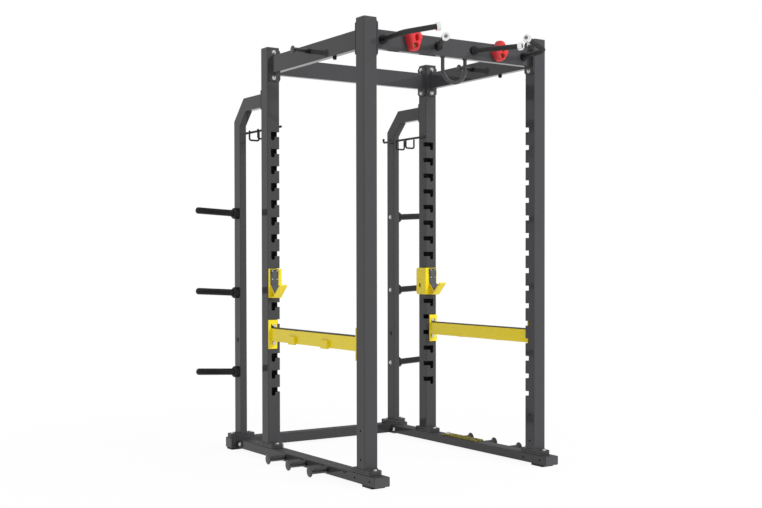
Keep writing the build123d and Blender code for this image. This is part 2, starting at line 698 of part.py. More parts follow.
def handle(points):
    """A pull-up handle with its collar on the beam and its end cap."""
    places = [Vector(*beam_point(point)) for point in points]
    last = places[-1] - places[-2]
    first = places[1] - places[0]
    start = places[0] - first.normalized() * HANDLE
    track = [start] + places[1:]
    path = FilletPolyline(*track, radius=HANDLE_BEND) if len(track) > 2 else Line(*track)
    grip = sweep(Plane(origin=start, z_dir=first) * Circle(HANDLE / 2), path=path)
    collar_face = BEAM_FRONT_Y - HANDLE_COLLAR_LONG
    behind = block((-CAGE_WIDTH, CAGE_WIDTH), (collar_face, CAGE_DEPTH), (0, CAGE_HEIGHT))
    grip = grip - behind
    collar = rod((places[0].X, BEAM_FRONT_Y, places[0].Z), (0, -1, 0), HANDLE_COLLAR, HANDLE_COLLAR_LONG)
    return grip, collar, Plane(origin=places[-1], z_dir=last) * handle_cap()


def handle_cap():
    """A handle's end cap on the Z axis, with a broken edge and a recess in its face."""
    cap = extrude(Circle(HANDLE_CAP / 2), amount=HANDLE_CAP_LONG)
    cap = chamfer(cap.faces().sort_by(Axis.Z)[-1].edges(), HANDLE_CAP_CHAMFER)
    return cap - rod((0, 0, HANDLE_CAP_LONG), (0, 0, -1), HANDLE_CAP_RECESS, HANDLE_CAP_RECESS_DEEP)


def pull_up_handles():
    """A bent outer and a straight inner handle on each side of the front beam."""
    outer, outer_collar, outer_cap = handle([(HALF - x, y, z) for x, y, z in OUTER_HANDLE])
    inner, inner_collar, inner_cap = handle(INNER_HANDLE)
    return {
        "outer_handles": both([outer]),
        "inner_handles": both([inner]),
        "handle_collars": both([outer_collar, inner_collar]),
        "handle_end_caps": both([outer_cap, inner_cap]),
    }


def hold_screw_places(y):
    """Points on the axes of both climbing holds' screws, at a given depth."""
    z = BEAM_MID + HOLD_RISE - HOLD_SCREW_DROP
    return [(x + HOLD_SCREW_X, y, z) for x in (-HOLD_PLACE, HOLD_PLACE)]


def climbing_hold():
    """A tapered resin grip with a finger pocket and a well for its screw, its back on the XZ plane."""
    wide, top, low, tall = (size / 2 for size in (HOLD_WIDE, HOLD_TOP_WIDE, HOLD_LOW_WIDE, HOLD_TALL))
    corners = [(-wide, HOLD_SHOULDER), (-top, tall), (top, tall), (wide, HOLD_SHOULDER),
               (low, -tall), (-low, -tall)]
    outline = make_face(Polyline(*corners, close=True))
    outline = fillet(outline.vertices(), HOLD_ROUND)
    grip = extrude(Plane.XZ * outline, amount=HOLD_DEEP, taper=HOLD_TAPER)
    grip = fillet(grip.faces().sort_by(Axis.Y)[0].edges(), HOLD_EDGE)
    mouth = Plane(origin=(POCKET_X, -HOLD_DEEP - EPS, POCKET_RISE), x_dir=(0, 0, 1), z_dir=(0, 1, 0))
    grip = grip - extrude(mouth * SlotOverall(POCKET_TALL, POCKET_WIDE), amount=POCKET_DEEP + EPS)
    well = HOLD_SCREW_HEAD + 2 * HOLD_SCREW_CLEAR
    grip = grip - rod((HOLD_SCREW_X, -HOLD_SCREW_SEAT, -HOLD_SCREW_DROP), (0, -1, 0), well, HOLD_DEEP)
    return grip - rod((HOLD_SCREW_X, EPS, -HOLD_SCREW_DROP), (0, -1, 0), BOLT_HOLE, HOLD_DEEP)


def hold_screw(point):
    """A round-headed screw through a climbing hold and the beam's front wall."""
    head = rod(point, (0, -1, 0), HOLD_SCREW_HEAD, HOLD_SCREW_TALL)
    return head + rod(point, (0, 1, 0), BOLT, HOLD_SCREW_SEAT + TUBE_WALL + NUT_TALL + BOLT_TAIL)


def suspension_ring():
    """A round-bar U welded under the middle of the front beam."""
    half = RING_WIDE / 2
    top = BEAM_TOP - BEAM_TALL
    turn = top - RING_DROP + half
    y = FRONT_BEAM_BACK
    start = (-half, y, top)
    arc = ThreePointArc((-half, y, turn), (0, y, turn - half), (half, y, turn))
    path = Line(start, (-half, y, turn)) + arc + Line((half, y, turn), (half, y, top))
    return sweep(Plane(origin=start, z_dir=(0, 0, -1)) * Circle(RING / 2), path=path)


def beam_fittings():
    """Two climbing holds, alike on both sides, and the suspension ring."""
    hold = Pos(0, BEAM_FRONT_Y, BEAM_MID + HOLD_RISE) * climbing_hold()
    seats = hold_screw_places(BEAM_FRONT_Y - HOLD_SCREW_SEAT)
    return {
        "climbing_holds": [Pos(x, 0, 0) * hold for x in (-HOLD_PLACE, HOLD_PLACE)],
        "climbing_hold_bolts": [hold_screw(point) for point in seats],
        "frame_nuts": [nut(point, (0, 1, 0)) for point in hold_screw_places(BEAM_FRONT_Y + TUBE_WALL)],
        "suspension_ring": [suspension_ring()],
    }


# Band pegs

def peg(face, direction, diameter, disc, length):
    """A round peg that ends in a disc."""
    stem = rod(face, direction, diameter, length)
    end = Vector(*face) + Vector(*direction) * (length - PEG_DISC_THICK)
    return stem + rod(end, direction, disc, PEG_DISC_THICK)


def band_pegs():
    """Three pegs outside each rail, and one on the left face of each side beam with a stud below it."""
    outer = HALF + RAIL_WIDE / 2
    rail_pegs = [peg((outer, y, RAIL_MID), (1, 0, 0), RAIL_PEG, RAIL_PEG_DISC, RAIL_PEG_LONG)
                 for y in RAIL_PEG_PLACES]
    top_pegs, studs = [], []
    for x in (-HALF, HALF):
        face = (x - BEAM_THICK / 2, TOP_PEG_PLACE, BEAM_MID + TOP_PEG_RISE)
        top_pegs.append(peg(face, (-1, 0, 0), TOP_PEG, TOP_PEG_DISC, TOP_PEG_LONG))
        low = rod((x, STUD_PLACE, BEAM_TOP - BEAM_TALL), (0, 0, -1), STUD, STUD_LONG)
        studs.append(fillet(low.faces().sort_by(Axis.Z)[0].edges(), STUD_ROUND))
    return {
        "rail_band_pegs": both(rail_pegs),
        "top_band_pegs": top_pegs,
        "beam_studs": studs,
    }


# Bar rests and safety bars

def lug(z, out):
    """A lug in the slot of a right-hand upright face: out is -1 for a face that looks to the front."""
    face = out * FACE
    neck_start = (SLOT_HOOK_X, face + out * LUG_FACE_GAP, z)
    neck = rod(neck_start, (0, -out, 0), LUG_NECK, LUG_FACE_GAP + UPRIGHT_WALL + LUG_FACE_GAP)
    near = face - out * (UPRIGHT_WALL + LUG_FACE_GAP)
    head = block(
        (SLOT_HOOK_X - LUG_HEAD_WIDE / 2, SLOT_HOOK_X + LUG_HEAD_WIDE / 2),
        (near, near - out * LUG_HEAD_THICK),
        (z - LUG_HEAD_TALL / 2, z + LUG_HEAD_TALL / 2),
    )
    return neck + head


def hanging_stud(z, out):
    """A lug that is clamped to an end plate by its own shank and round nut."""
    face = out * (FACE + LUG_FACE_GAP)
    shank = rod((SLOT_HOOK_X, face, z), (0, out, 0), BOLT, PLATE_THICK)
    cap = rod((SLOT_HOOK_X, face + out * PLATE_THICK, z), (0, out, 0), STUD_NUT, STUD_NUT_TALL)
    return lug(z, out) + shank + cap


def lug_heights(slot):
    """Rest heights of a pair of lugs whose lower one hangs in the slot of that number."""
    low = SLOT_FIRST + slot * SLOT_PITCH - LUG_BELOW_SLOT
    return [low, low + LUG_SPAN * SLOT_PITCH]


def bar_rest():
    """The right bar rest, in the frame of its upright: bracket, plastic liner, screws and lugs."""
    lugs = lug_heights(REST_SLOT)
    low = lugs[0] - PLATE_BELOW_LUG
    high = low + PLATE_TALL
    back_y = -FACE - LUG_FACE_GAP
    plate_y = back_y - PLATE_THICK
    side_x = -FACE - REST_SIDE_GAP
    plate = Pos(0, 0, low) * extrude(rest_bend(side_x, plate_y, back_y), amount=PLATE_TALL)
    plate = chamfer(plate.edges().filter_by(Axis.X).group_by(Axis.Y)[-1], REST_SIDE_CHAMFER)
    hole = Plane(origin=(side_x + EPS, plate_y + REST_SIDE_HOLE_BACK, low + REST_SIDE_HOLE_UP),
                 x_dir=(0, 0, 1), z_dir=(-1, 0, 0)) * SlotOverall(REST_SIDE_HOLE_LONG, REST_SIDE_HOLE)
    plate = plate - extrude(hole, amount=REST_SIDE_THICK + 2 * EPS)
    lip = rest_profile(lip_outline(), LIP_WIDE, plate_y, low)
    arm = rest_profile(trough_arm_outline(), LIP_WIDE, plate_y, low)
    bracket = plate + lip + arm

    back_liner, trough_liner = liner_outlines()
    liner = rest_profile(back_liner, LINER_WIDE, plate_y, low)
    liner = liner + rest_profile(trough_liner, LIP_WIDE, plate_y, low)
    inset = LINER_THICK + LINER_GAP
    front_y = plate_y - inset
    screw_bore = SCREW_SHANK + 2 * BOLT_CLEAR
    screws = []
    for x in (REST_MIDDLE - SCREW_SPACING_X / 2, REST_MIDDLE + SCREW_SPACING_X / 2):
        for z in (high - SCREW_TOP_MARGIN, high - SCREW_TOP_MARGIN - SCREW_SPACING_Z):
            shank = rod((x, front_y, z), (0, 1, 0), SCREW_SHANK, inset + PLATE_THICK)
            bore = rod((x, front_y - EPS, z), (0, 1, 0), screw_bore, inset + PLATE_THICK + 2 * EPS)
            liner = liner - bore
            bracket = bracket - bore
            screws.append(shank + rod((x, front_y, z), (0, -1, 0), SCREW, SCREW_TALL))
    place = Pos(HALF, CAGE_DEPTH, 0)
    pieces = {"bracket": [bracket], "liner": [liner], "screws": screws, "lugs": [lug(z, -1) for z in lugs]}
    return {name: [place * shape for shape in shapes] for name, shapes in pieces.items()}


def rest_bend(side_x, plate_y, back_y):
    """The bar rest's bent plate from above: across the upright's front and along its inner side."""
    outer_x = side_x - REST_SIDE_THICK
    end_y = plate_y + REST_SIDE_DEEP
    corners = [(outer_x, plate_y), (REST_OUTER_EDGE, plate_y), (REST_OUTER_EDGE, back_y), (side_x, back_y),
               (side_x, end_y), (outer_x, end_y)]
    outline = make_face(Polyline(*corners, close=True))
    return fillet(outline.vertices().sort_by_distance((outer_x, plate_y, 0))[0], REST_BEND)


def lip_outline():
    """The bar rest's floor and front lip, as distance in front of the plate and height above its low edge."""
    return [(0, 0), (LIP_FLOOR, 0), (LIP_REACH, LIP_RISE - LIP_TIP_DROP), (LIP_REACH - LIP_TIP_BACK, LIP_RISE),
            (TROUGH_REACH, TROUGH_RISE), (LIP_FLOOR_BACK, LIP_FLOOR_THICK), (0, LIP_FLOOR_THICK)]


def trough_arm_outline():
    """The sloping back of the trough, from the plate down into the lip."""
    along = Vector(TROUGH_REACH, TROUGH_RISE - TROUGH_ARM_RISE).normalized()
    behind = Vector(along.Y, -along.X) * TROUGH_ARM_THICK
    foot = Vector(TROUGH_REACH, TROUGH_RISE) + along * TROUGH_ARM_SINK
    low = foot + behind
    high = low.Y - low.X * along.Y / along.X
    return [(0, TROUGH_ARM_RISE), (foot.X, foot.Y), (low.X, low.Y), (0, high)]


def liner_outlines():
    """The liner's back on the plate, and its trough on the arm and the lip."""
    arm_slope = (TROUGH_RISE - TROUGH_ARM_RISE) / TROUGH_REACH
    lip_slope = (LIP_RISE - TROUGH_RISE) / (LIP_REACH - LIP_TIP_BACK - TROUGH_REACH)
    inset = LINER_THICK + LINER_GAP
    top = PLATE_TALL - LINER_TOP_MARGIN
    near = TROUGH_ARM_RISE + arm_slope * LINER_GAP + LINER_LIFT
    knee = TROUGH_RISE + LINER_LIFT
    tip = knee + lip_slope * (LINER_REACH - TROUGH_REACH)
    rise = LINER_THICK + LINER_LIFT
    back = [(LINER_GAP, near + rise), (LINER_GAP, top), (inset, top), (inset, near + rise)]
    trough = [(LINER_GAP, near), (TROUGH_REACH, knee), (LINER_REACH, tip), (LINER_REACH, tip + rise),
              (TROUGH_REACH, knee + rise), (inset, near + rise + arm_slope * LINER_THICK), (inset, near + rise),
              (LINER_GAP, near + rise)]
    return back, trough


def rest_profile(points, wide, plate_y, low):
    """A bar rest profile given as distance in front of the plate and height, made as wide as asked."""
    outline = make_face(Polyline(*[(plate_y - reach, low + z) for reach, z in points], close=True))
    return extrude(Plane.YZ.offset(REST_MIDDLE - wide / 2) * outline, amount=wide)


def safety_bar():
    """The right safety bar: tube, end plates, rubber top, side blocks, bolts and lugs."""
    lugs = lug_heights(SAFETY_SLOT)
    low = lugs[0] - PLATE_BELOW_LUG
    inner = HALF - SAFETY_INSET
    outer = inner + SAFETY_THICK
    bar_mid = (lugs[0] + lugs[1]) / 2
    bar_low = bar_mid - SAFETY_TALL / 2
    start = FACE + LUG_FACE_GAP
    end = CAGE_DEPTH - FACE - LUG_FACE_GAP
    bar = Pos((inner + outer) / 2, 0, bar_mid) * tube_along_y(
        SAFETY_THICK, SAFETY_TALL, start + PLATE_THICK, end - PLATE_THICK)
    bar_top = bar_low + SAFETY_TALL
    pad = block(
        (inner + SAFETY_PAD_MARGIN, outer - SAFETY_PAD_MARGIN),
        (start + PLATE_THICK + SAFETY_PAD_END, end - PLATE_THICK - SAFETY_PAD_END),
        (bar_top, bar_top + SAFETY_PAD_THICK),
    )
    blocks = [block((outer, outer + BLOCK_THICK), (y - BLOCK_LONG / 2, y + BLOCK_LONG / 2),
                    (bar_low - BLOCK_DIP, bar_low - BLOCK_DIP + BLOCK_TALL)) for y in BLOCK_PLACES]
    plate_x = (HALF - SAFETY_PLATE_INSET, HALF + FACE)
    plates, studs = [], []
    for y, out in ((0, 1), (CAGE_DEPTH, -1)):
        near = y + out * (FACE + LUG_FACE_GAP)
        plate = block(plate_x, (near, near + out * PLATE_THICK), (low, low + PLATE_TALL))
        holes = [(HALF + SLOT_HOOK_X, near - out * EPS, z) for z in lugs]
        plates.append(drilled(plate, holes, (0, out, 0), PLATE_THICK + 2 * EPS))
        studs += [Pos(HALF, y, 0) * hanging_stud(z, out) for z in lugs]
    return {"bar": [bar], "pad": [pad], "blocks": blocks, "end_plates": plates, "studs": studs}


def bar_supports():
    """Both bar rests and both safety bars, each lifting off by itself."""
    nodes = {}
    for prefix, pieces in (("bar_rest", bar_rest()), ("safety", safety_bar())):
        for name, shapes in pieces.items():
            nodes[f"left_{prefix}_{name}"] = [mirrored(shape) for shape in shapes]
            nodes[f"right_{prefix}_{name}"] = shapes
    return nodes


# Strap on the right rail

def rail_strap():
    """A drilled flat strap that lies on the right rail, held by a bolt at its back end."""
    end = STRAP_START + STRAP_LONG
    across = (HALF - STRAP_WIDE / 2, HALF + STRAP_WIDE / 2)
    plate = block(across, (STRAP_START, end), (RAIL_TOP, RAIL_TOP + STRAP_THICK))
    step = (STRAP_LONG - 2 * STRAP_END) / STRAP_HOLE_COUNT
    places = [(HALF, STRAP_START + STRAP_END + step * index, RAIL_TOP - EPS)
              for index in range(STRAP_HOLE_COUNT)]
    plate = drilled(plate, places, (0, 0, 1), STRAP_THICK + 2 * EPS, STRAP_HOLE)
    head = rod((HALF, end - STRAP_END, RAIL_TOP + STRAP_THICK), (0, 0, 1), HEAD_ACROSS, HEAD_TALL)
    return {"rail_strap": [plate], "base_bolts": [head]}


def all_nodes():
    """Every node of the cage, by name."""
    nodes = {}
    sections = (uprights, top_frame, base_frame, feet, storage_frame, plate_horns, hook_rails,
                pull_up_handles, beam_fittings, band_pegs, bar_supports, rail_strap)
    for section in sections:
        for name, shapes in section().items():
            nodes.setdefault(name, []).extend(shapes)
    return nodes


def solids_of(shapes):
    """The separate solids in a list of shapes."""
    return [solid for shape in shapes for solid in shape.solids()]


def main():
    """Build every node, stand the cage on the middle of its floor box, and write the files."""
    os.makedirs("parts", exist_ok=True)
    nodes = {name: solids_of(shapes) for name, shapes in all_nodes().items()}
    box = Compound([solid for solids in nodes.values() for solid in solids]).bounding_box()
    centre = Vector((box.min.X + box.max.X) / 2, (box.min.Y + box.max.Y) / 2, box.min.Z)
    print("moved by", -centre)
    for name, solids in nodes.items():
        moved = [solid.moved(Location(-centre)) for solid in solids]
        shape = moved[0] if len(moved) == 1 else Compound(moved)
        export_step(shape, f"parts/{name}.step")
    print(len(nodes), "nodes")


main()
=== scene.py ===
"""Looks of a free-standing power cage: finishes, fasteners, welds, grips and a plain studio, set
around its CAD frame."""
import json
import math

import bmesh
import bpy
import numpy as np
from bpy.props import FloatProperty, FloatVectorProperty, PointerProperty
from mathutils import Matrix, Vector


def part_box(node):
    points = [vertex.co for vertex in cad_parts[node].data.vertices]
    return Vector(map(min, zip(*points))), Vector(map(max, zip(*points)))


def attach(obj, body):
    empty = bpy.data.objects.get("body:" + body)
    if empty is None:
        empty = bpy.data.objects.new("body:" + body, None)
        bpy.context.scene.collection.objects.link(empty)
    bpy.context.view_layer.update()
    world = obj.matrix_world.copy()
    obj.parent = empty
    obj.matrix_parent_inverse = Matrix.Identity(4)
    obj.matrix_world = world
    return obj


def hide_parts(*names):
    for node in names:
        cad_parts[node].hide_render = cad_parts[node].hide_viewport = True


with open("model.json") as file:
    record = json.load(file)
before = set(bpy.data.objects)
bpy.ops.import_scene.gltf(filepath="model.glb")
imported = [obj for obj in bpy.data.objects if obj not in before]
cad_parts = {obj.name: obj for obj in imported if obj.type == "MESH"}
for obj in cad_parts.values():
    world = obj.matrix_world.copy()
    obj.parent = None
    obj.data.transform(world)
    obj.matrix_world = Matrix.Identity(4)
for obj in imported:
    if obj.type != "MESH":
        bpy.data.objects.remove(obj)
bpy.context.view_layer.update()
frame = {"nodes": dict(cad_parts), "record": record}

bl_info = {
    "name": "Power cage looks",
    "version": (1, 0, 0),
    "blender": (4, 5, 0),
    "location": "3D View > Sidebar > Power cage",
    "description": "Dresses the power cage's frame with its finishes, fasteners, welds and grips",
    "category": "Object",
}

RECORD = frame["record"]
BODY_OF = {node: body for body, nodes in RECORD["behaviour"]["bodies"].items() for node in nodes}
SLOT_OF = {part["node"]: part["material_slot"] for part in RECORD["subparts"]}
X, Y, Z = np.eye(3)
# Left and right, or the two ends of a pair.
SIDES = (-1, 1)


def mm(value):
    """Millimetres in metres."""
    return value / 1000


def linear(code):
    """Linear red, green and blue of an sRGB hex colour."""
    srgb = np.array([int(code[at:at + 2], 16) for at in (1, 3, 5)]) / 255
    return tuple(np.where(srgb <= 0.04045, srgb / 12.92, ((srgb + 0.055) / 1.055) ** 2.4).tolist())


def low(node):
    """The lowest corner of a CAD node."""
    return np.array(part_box(node)[0])


def high(node):
    """The highest corner of a CAD node."""
    return np.array(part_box(node)[1])


def middle(node):
    """The middle of a CAD node's box."""
    return (low(node) + high(node)) / 2


def span(node):
    """The width, depth and height of a CAD node's box."""
    return high(node) - low(node)


# Where the frame's tubes stand, read from their boxes.
HALF, FRONT_Y, _ = middle("upright_front_right")
REAR_Y = middle("upright_rear_right")[1]
UPRIGHT = span("upright_front_right")[0]
UPRIGHT_TOP = high("upright_front_right")[2]
FOOT_TOP = low("upright_front_right")[2]
STORAGE_Y = middle("right_storage_post")[1]
STORAGE_FOOT_TOP = low("right_storage_post")[2]
POST_WIDE, POST_DEEP, _ = span("right_storage_post")
_, BEAM_THICK, BEAM_TALL = span("rear_top_beam")
BEAM_MID = middle("rear_top_beam")[2]
BEAM_END = high("rear_top_beam")[0]
FRONT_BEAM_Y = middle("front_top_beam")[1]
FRONT_BEAM_FACE = low("front_top_beam")[1]
SIDE_BEAM_FRONT = low("side_top_beams")[1]
SIDE_BEAM_BACK = high("side_top_beams")[1]
ARM_FRONT = low("storage_arms")[1]
ARM_MID = middle("storage_arms")[2]
RAIL_WIDE, _, RAIL_TALL = span("right_base_rail")
RAIL_MID = middle("right_base_rail")[2]
RAIL_START = low("right_base_rail")[1]
_, CROSS_DEEP, CROSS_TALL = span("rear_crossmember")
CROSS_MID = middle("rear_crossmember")[2]
CROSS_END = high("rear_crossmember")[0]
CROSS_FRONT = low("rear_crossmember")[1]
CROSS_BACK = high("rear_crossmember")[1]

# Outer corners of the square uprights and of the flat tubes.
UPRIGHT_CORNER = mm(5)
TUBE_CORNER = mm(4)

# Bolts: the distance between the two of a pair, how far single ones sit back, how much larger the
# strap's is, and the length below the head.
FLANGE_BOLTS = mm(148)
ARM_BOLTS = mm(110)
FOOT_BOLTS = mm(150)
STORAGE_FOOT_BOLTS = mm(116)
REAR_BOLTS = mm(50)
SPIGOT_BOLT_BACK = mm(33)
STRAP_BOLT_BACK = mm(24)
STRAP_BOLT_SCALE = 1.3
BOLT_GRIP = mm(20)

# Plate horns: their heights and tilt, the cap on the sleeve, and the step of the collar.
HORN_HEIGHTS = (mm(475), mm(963), mm(1451))
HORN_TILT = math.radians(3)
HORN_CAP = mm(18)
HORN_CAP_ROUND = mm(17)
HORN_SEAM = mm(1)
SLEEVE_SUNK = mm(4)
COLLAR_STEP = mm(8)
COLLAR_STEP_IN = mm(7)
COLLAR_ROUND = mm(2)
# How far turned pieces sink into the tube that carries them.
SEATED = mm(1.5)

# Band pegs: radius of the stem, radius of the disc and length; the flare, its lip and the rim.
RAIL_PEG = (mm(16), mm(30), mm(112))
TOP_PEG = (mm(13), mm(22), mm(110))
RAIL_PEG_PLACES = (mm(327), mm(564), mm(800))
PEG_FLARE = mm(15)
PEG_DISC = mm(5)
PEG_LIP = mm(1)
PEG_ROUND = mm(3)

# Hooks: the rail, and the wire's thickness, width, drop, bends and place under the rail.
HOOK_RAIL = mm(14)
HOOK_RAIL_EDGE = mm(2)
HOOK_WIRE = mm(11)
HOOK_SPAN = mm(64)
HOOK_DROP = mm(57)
HOOK_BEND = mm(12)
HOOK_STRAIGHT = mm(12)
HOOK_TOP = mm(3)
HOOK_INWARD = mm(62.5)
HOOK_PLACES = (mm(154), mm(266))

# Climbing holds: their places on the front beam, depth, screw and its well, the pocket's place,
# two radii and depth, and the lengths and height of the waves on their fronts.
HOLD_PLACES = (-mm(290), mm(290))
HOLD_RISE = mm(12)
HOLD_DEEP = mm(50)
HOLD_SCREW = (-mm(4), -mm(30))
HOLD_SCREW_SEAT = mm(22)
HOLD_WELL = mm(12)
HOLD_POCKET = (mm(1), mm(10), mm(9.5), mm(15.5), mm(32))
HOLD_WAVES = (mm(17), mm(14), mm(9))
HOLD_UNEVEN = mm(0.7)
# Straight sides of the two holds: the angle of each one's normal in degrees, its distance in mm.
LEFT_HOLD_SIDES = ((90, 57), (40, 55), (-18, 38), (-90, 57), (198, 38), (140, 55))
RIGHT_HOLD_SIDES = ((90, 57), (29, 40), (-34, 46), (-90, 57), (214, 46), (151, 40))

# Suspension ring: where its ends are welded to the front beam, and its bar, all but round.
RING_HALF = mm(75)
RING_BAR = mm(20)
RING_CORNER = mm(9.9)

# The handles' last straight runs, two points each: across from the upright's line for an outer one
# and from the cage's middle for an inner one, then from the front beam's face and mid height.
OUTER_HANDLE_END = ((mm(100), -mm(185), mm(8)), (mm(262), -mm(237), mm(45)))
INNER_HANDLE_END = ((mm(120), 0.0, 0.0), (mm(243), -mm(233), 0.0))
HANDLE_COLLAR_EDGE = mm(2.5)

# Small turned pieces in millimetres: the points of the side as radius and height, the radius,
# height and rounding of the rim, the points of the face, the rim's steps and the turns round it.
POST_PLUG = {
    "side": ((0, -6), (10.6, -6), (10.6, 0), (14, 0), (14, 1.2)), "rim": (14, 3, 1.8),
    "face": ((6, 3), (0, 3)), "steps": 5, "turns": 32}
HOLD_CAP_SCREW = {
    "side": ((0, -20), (6, -20), (6, 0), (9, 0)), "rim": (9, 12, 1),
    "face": ((5.3, 12), (5, 11.7), (5, 4), (0, 4)), "steps": 4, "turns": 24}
BUTTON_SCREW = {
    "side": ((0, -12), (3, -12), (3, 0), (5, 0), (5, 0.8)), "rim": (5, 4, 3.1),
    "face": ((1.8, 4), (1.7, 3.8), (1.7, 1.6), (0, 1.6)), "steps": 7, "turns": 28}
HANDLE_CAP = {
    "side": ((0, 0), (21, 0), (21.8, 1), (21.8, 6.5), (21.2, 7.2), (21.2, 8.2), (21.8, 9)),
    "rim": (21.8, 22, 3),
    "face": ((13.5, 22), (12.5, 21.4), (12, 20), (12, 18), (0, 18)), "steps": 8, "turns": 48}
HANDLE_CAP_SCREW = {
    "side": ((0, 17.5), (9.5, 17.5), (9.5, 20)), "rim": (9.5, 21.2, 1),
    "face": ((5, 21.2), (4.6, 20.8), (4.6, 18.5), (0, 18.5)), "steps": 4, "turns": 32}
PLUG_HEIGHT = mm(672)
LATHE_TURNS = 48

# Rows of the moulded caps: the scale of the tube's outline, and the height in millimetres.
LID_ROWS = np.array([
    (0, -9), (0.86, -9), (0.88, 0), (1, 0), (1, 2.4), (0.985, 3.4), (0.95, 4.2), (0.8, 4.7),
    (0.4, 5), (0, 5)]) * (1, mm(1))
PLUG_ROWS = np.array([
    (0, -8), (0.84, -8), (0.86, 0), (0.9, 0), (0.9, 2), (1, 2), (1, 2.8), (0.985, 3.4),
    (0.955, 3.6), (0.93, 3.3), (0.9, 3.4), (0, 3.8)]) * (1, mm(1))
# The black discs in the rests' holes are painted shade for the holes' dark inside.
HOLE_SHADE_ROWS = np.array([(0, -7.5), (0.97, -7.5), (0.97, -5.5), (0.9, -5), (0, -5)]) * (1, mm(1))
# The black discs of painted shade sunk in the bar rests' oval holes: their outline, and their
# place from the bracket's front and foot.
HOLE_SHADE_DISC = (mm(20), mm(27), mm(9.9))
HOLE_SHADE_PLACE = (mm(180), mm(59))

# Rubber feet: width, depth and corner, how far they sit from the tubes' ends, and their ribs.
FRONT_FOOT = (mm(84), mm(100), mm(6))
REAR_FOOT = (mm(100), mm(72), mm(6))
FRONT_FOOT_BACK = mm(80)
REAR_FOOT_IN = mm(50)
FOOT_RIBS = 3
FOOT_RIB_SHARE = 0.03
FOOT_LIP = mm(0.8)

# Meshes: points this close are one, edges sharper than this stay sharp, and how edges are eased.
MERGE_WITHIN = mm(0.005)
SHARP_DEGREES = 35
EASED_DEGREES = 40
EASED_SEGMENTS = 3

# Studio: each lamp's place and target in metres, the side of its square, and its power in watts.
KEY_SOFTBOX = {"place": (4.8, -10.5, 7.4), "target": (0, -0.3, 1.1), "size": 7, "power": 1280}
FILL_SOFTBOX = {"place": (-6.5, -3.5, 4.2), "target": (0, 0, 1.1), "size": 4.5, "power": 8}
STUDIO_LIGHT = 0.62
# The floor's reach in metres, and its share of white from 1 m to 3.5 m away from the middle.
FLOOR_REACH = 60
FLOOR_FADE = {"From Min": 1.0, "From Max": 3.5, "To Min": 0.93, "To Max": 1.0}

# The photograph's camera, fitted to points of the frame: millimetres, degrees and metres.
CAMERA_LENS = 55.134
CAMERA_SENSOR = 36
CAMERA_SHIFT = (-0.01483, 0.03274)
CAMERA_ANGLES = (33.754, -0.938, -0.083)
CAMERA_PLACE = (-3.798, FRONT_Y - 5.0707, 1.1646)
CAMERA_SEES = 200


def length(name, description, default):
    """A length property with its default in metres."""
    return FloatProperty(
        name=name, description=description, default=default, min=0, unit="LENGTH")


class CageSizes(bpy.types.PropertyGroup):
    """Sizes of the pieces that dress the frame."""

    head_across: length("Bolt head", "Bolt heads across their flats", mm(19))
    head_tall: length("Bolt head height", "Height of a bolt head above its washer", mm(8))
    crown: length("Bolt crown", "Rise of the bolt heads' rounded crowns", mm(3))
    washer: length("Washer", "Diameter of the bolts' washers", mm(26))
    washer_tall: length("Washer thickness", "Thickness of the bolts' washers", mm(2))
    shank: length("Bolt shank", "Diameter of the bolts' shanks", mm(12))
    weld: length("Weld bead", "Radius of the weld beads round the tubes", mm(4.5))
    weld_ripple: length("Weld ripple", "Distance between the ripples of a weld bead", mm(5))
    horn: length("Plate horn", "Diameter of the plate horns", mm(40))
    horn_long: length("Plate horn length", "Length of a horn from its post to its tip", mm(276))
    collar: length("Horn collar", "Diameter of the horns' collars", mm(68))
    collar_long: length("Horn collar length", "Length of the horns' collars", mm(34))
    edge: length("Edge rounding", "Rounding of the edges of plates and mouldings", mm(1.4))


def colour(name, description, code):
    """A colour property whose default is an sRGB hex value."""
    return FloatVectorProperty(
        name=name, description=description, subtype="COLOR", size=3, min=0, max=1,
        default=linear(code))


class CageColours(bpy.types.PropertyGroup):
    """Colours of the cage's finishes and of the floor."""

    frame_paint: colour("Frame", "Powder coat of the frame's tubes and plates", "#414143")
    yellow_paint: colour("Rests", "Powder coat of the bar rests and safety bars", "#F2DA1E")
    black_paint: colour("Horns", "Satin paint of the horns, collars and hooks", "#0F0F10")
    gloss_black: colour("Pegs", "Gloss paint of the band pegs", "#232324")
    black_plastic: colour("Caps", "Moulded caps and plugs", "#0D0D0E")
    grey_cap: colour("Tube caps", "Moulded caps of the uprights and base tubes", "#3E3E40")
    rubber: colour("Rubber", "Feet, grips and bar strips", "#141414")
    zinc_steel: colour("Fasteners", "Zinc plating of the bolts, nuts and lugs", "#CFCFCC")
    # Darker than the bolts' zinc: painted shade for the holds' wells.
    shaded_screw_zinc: colour("Hold screws", "Yellow passivation of the holds' screws", "#B9A273")
    chrome: colour("Handle caps", "Chrome plating of the handles' end caps", "#E9EAEA")
    blasted: colour("Handle cap screws", "Blasted steel inside the handle caps", "#8B8C8D")
    grey_plastic: colour("Liners", "Wear plastic in the bar rests", "#4C4D50")
    red_resin: colour("Holds", "Resin of the climbing holds", "#D23034")
    # The strap's paint: a dull, darker olive-yellow, with dark specks.
    strap: colour("Strap", "Rubbed paint of the drilled strap", "#8C8230")
    floor: colour("Floor", "Studio floor", "#FAFAFA")


# Surfaces: every grid has rows along the first axis and columns closed round the second.

def raised(flat, height):
    """Rows of flat points, each row lifted to its own height."""
    level = np.broadcast_to(height[:, None, None], flat.shape[:2] + (1,))
    return np.concatenate([flat, level], -1)


def lathe(profile, turns=LATHE_TURNS):
    """A profile turned about Z: at angle u, each radius r and height h gives the point
    (r cos u, r sin u, h)."""
    radius, height = np.array(profile, float).T
    angle = np.linspace(0, 2 * np.pi, turns, endpoint=False)
    flat = np.stack([np.outer(radius, np.cos(angle)), np.outer(radius, np.sin(angle))], -1)
    return raised(flat, height)


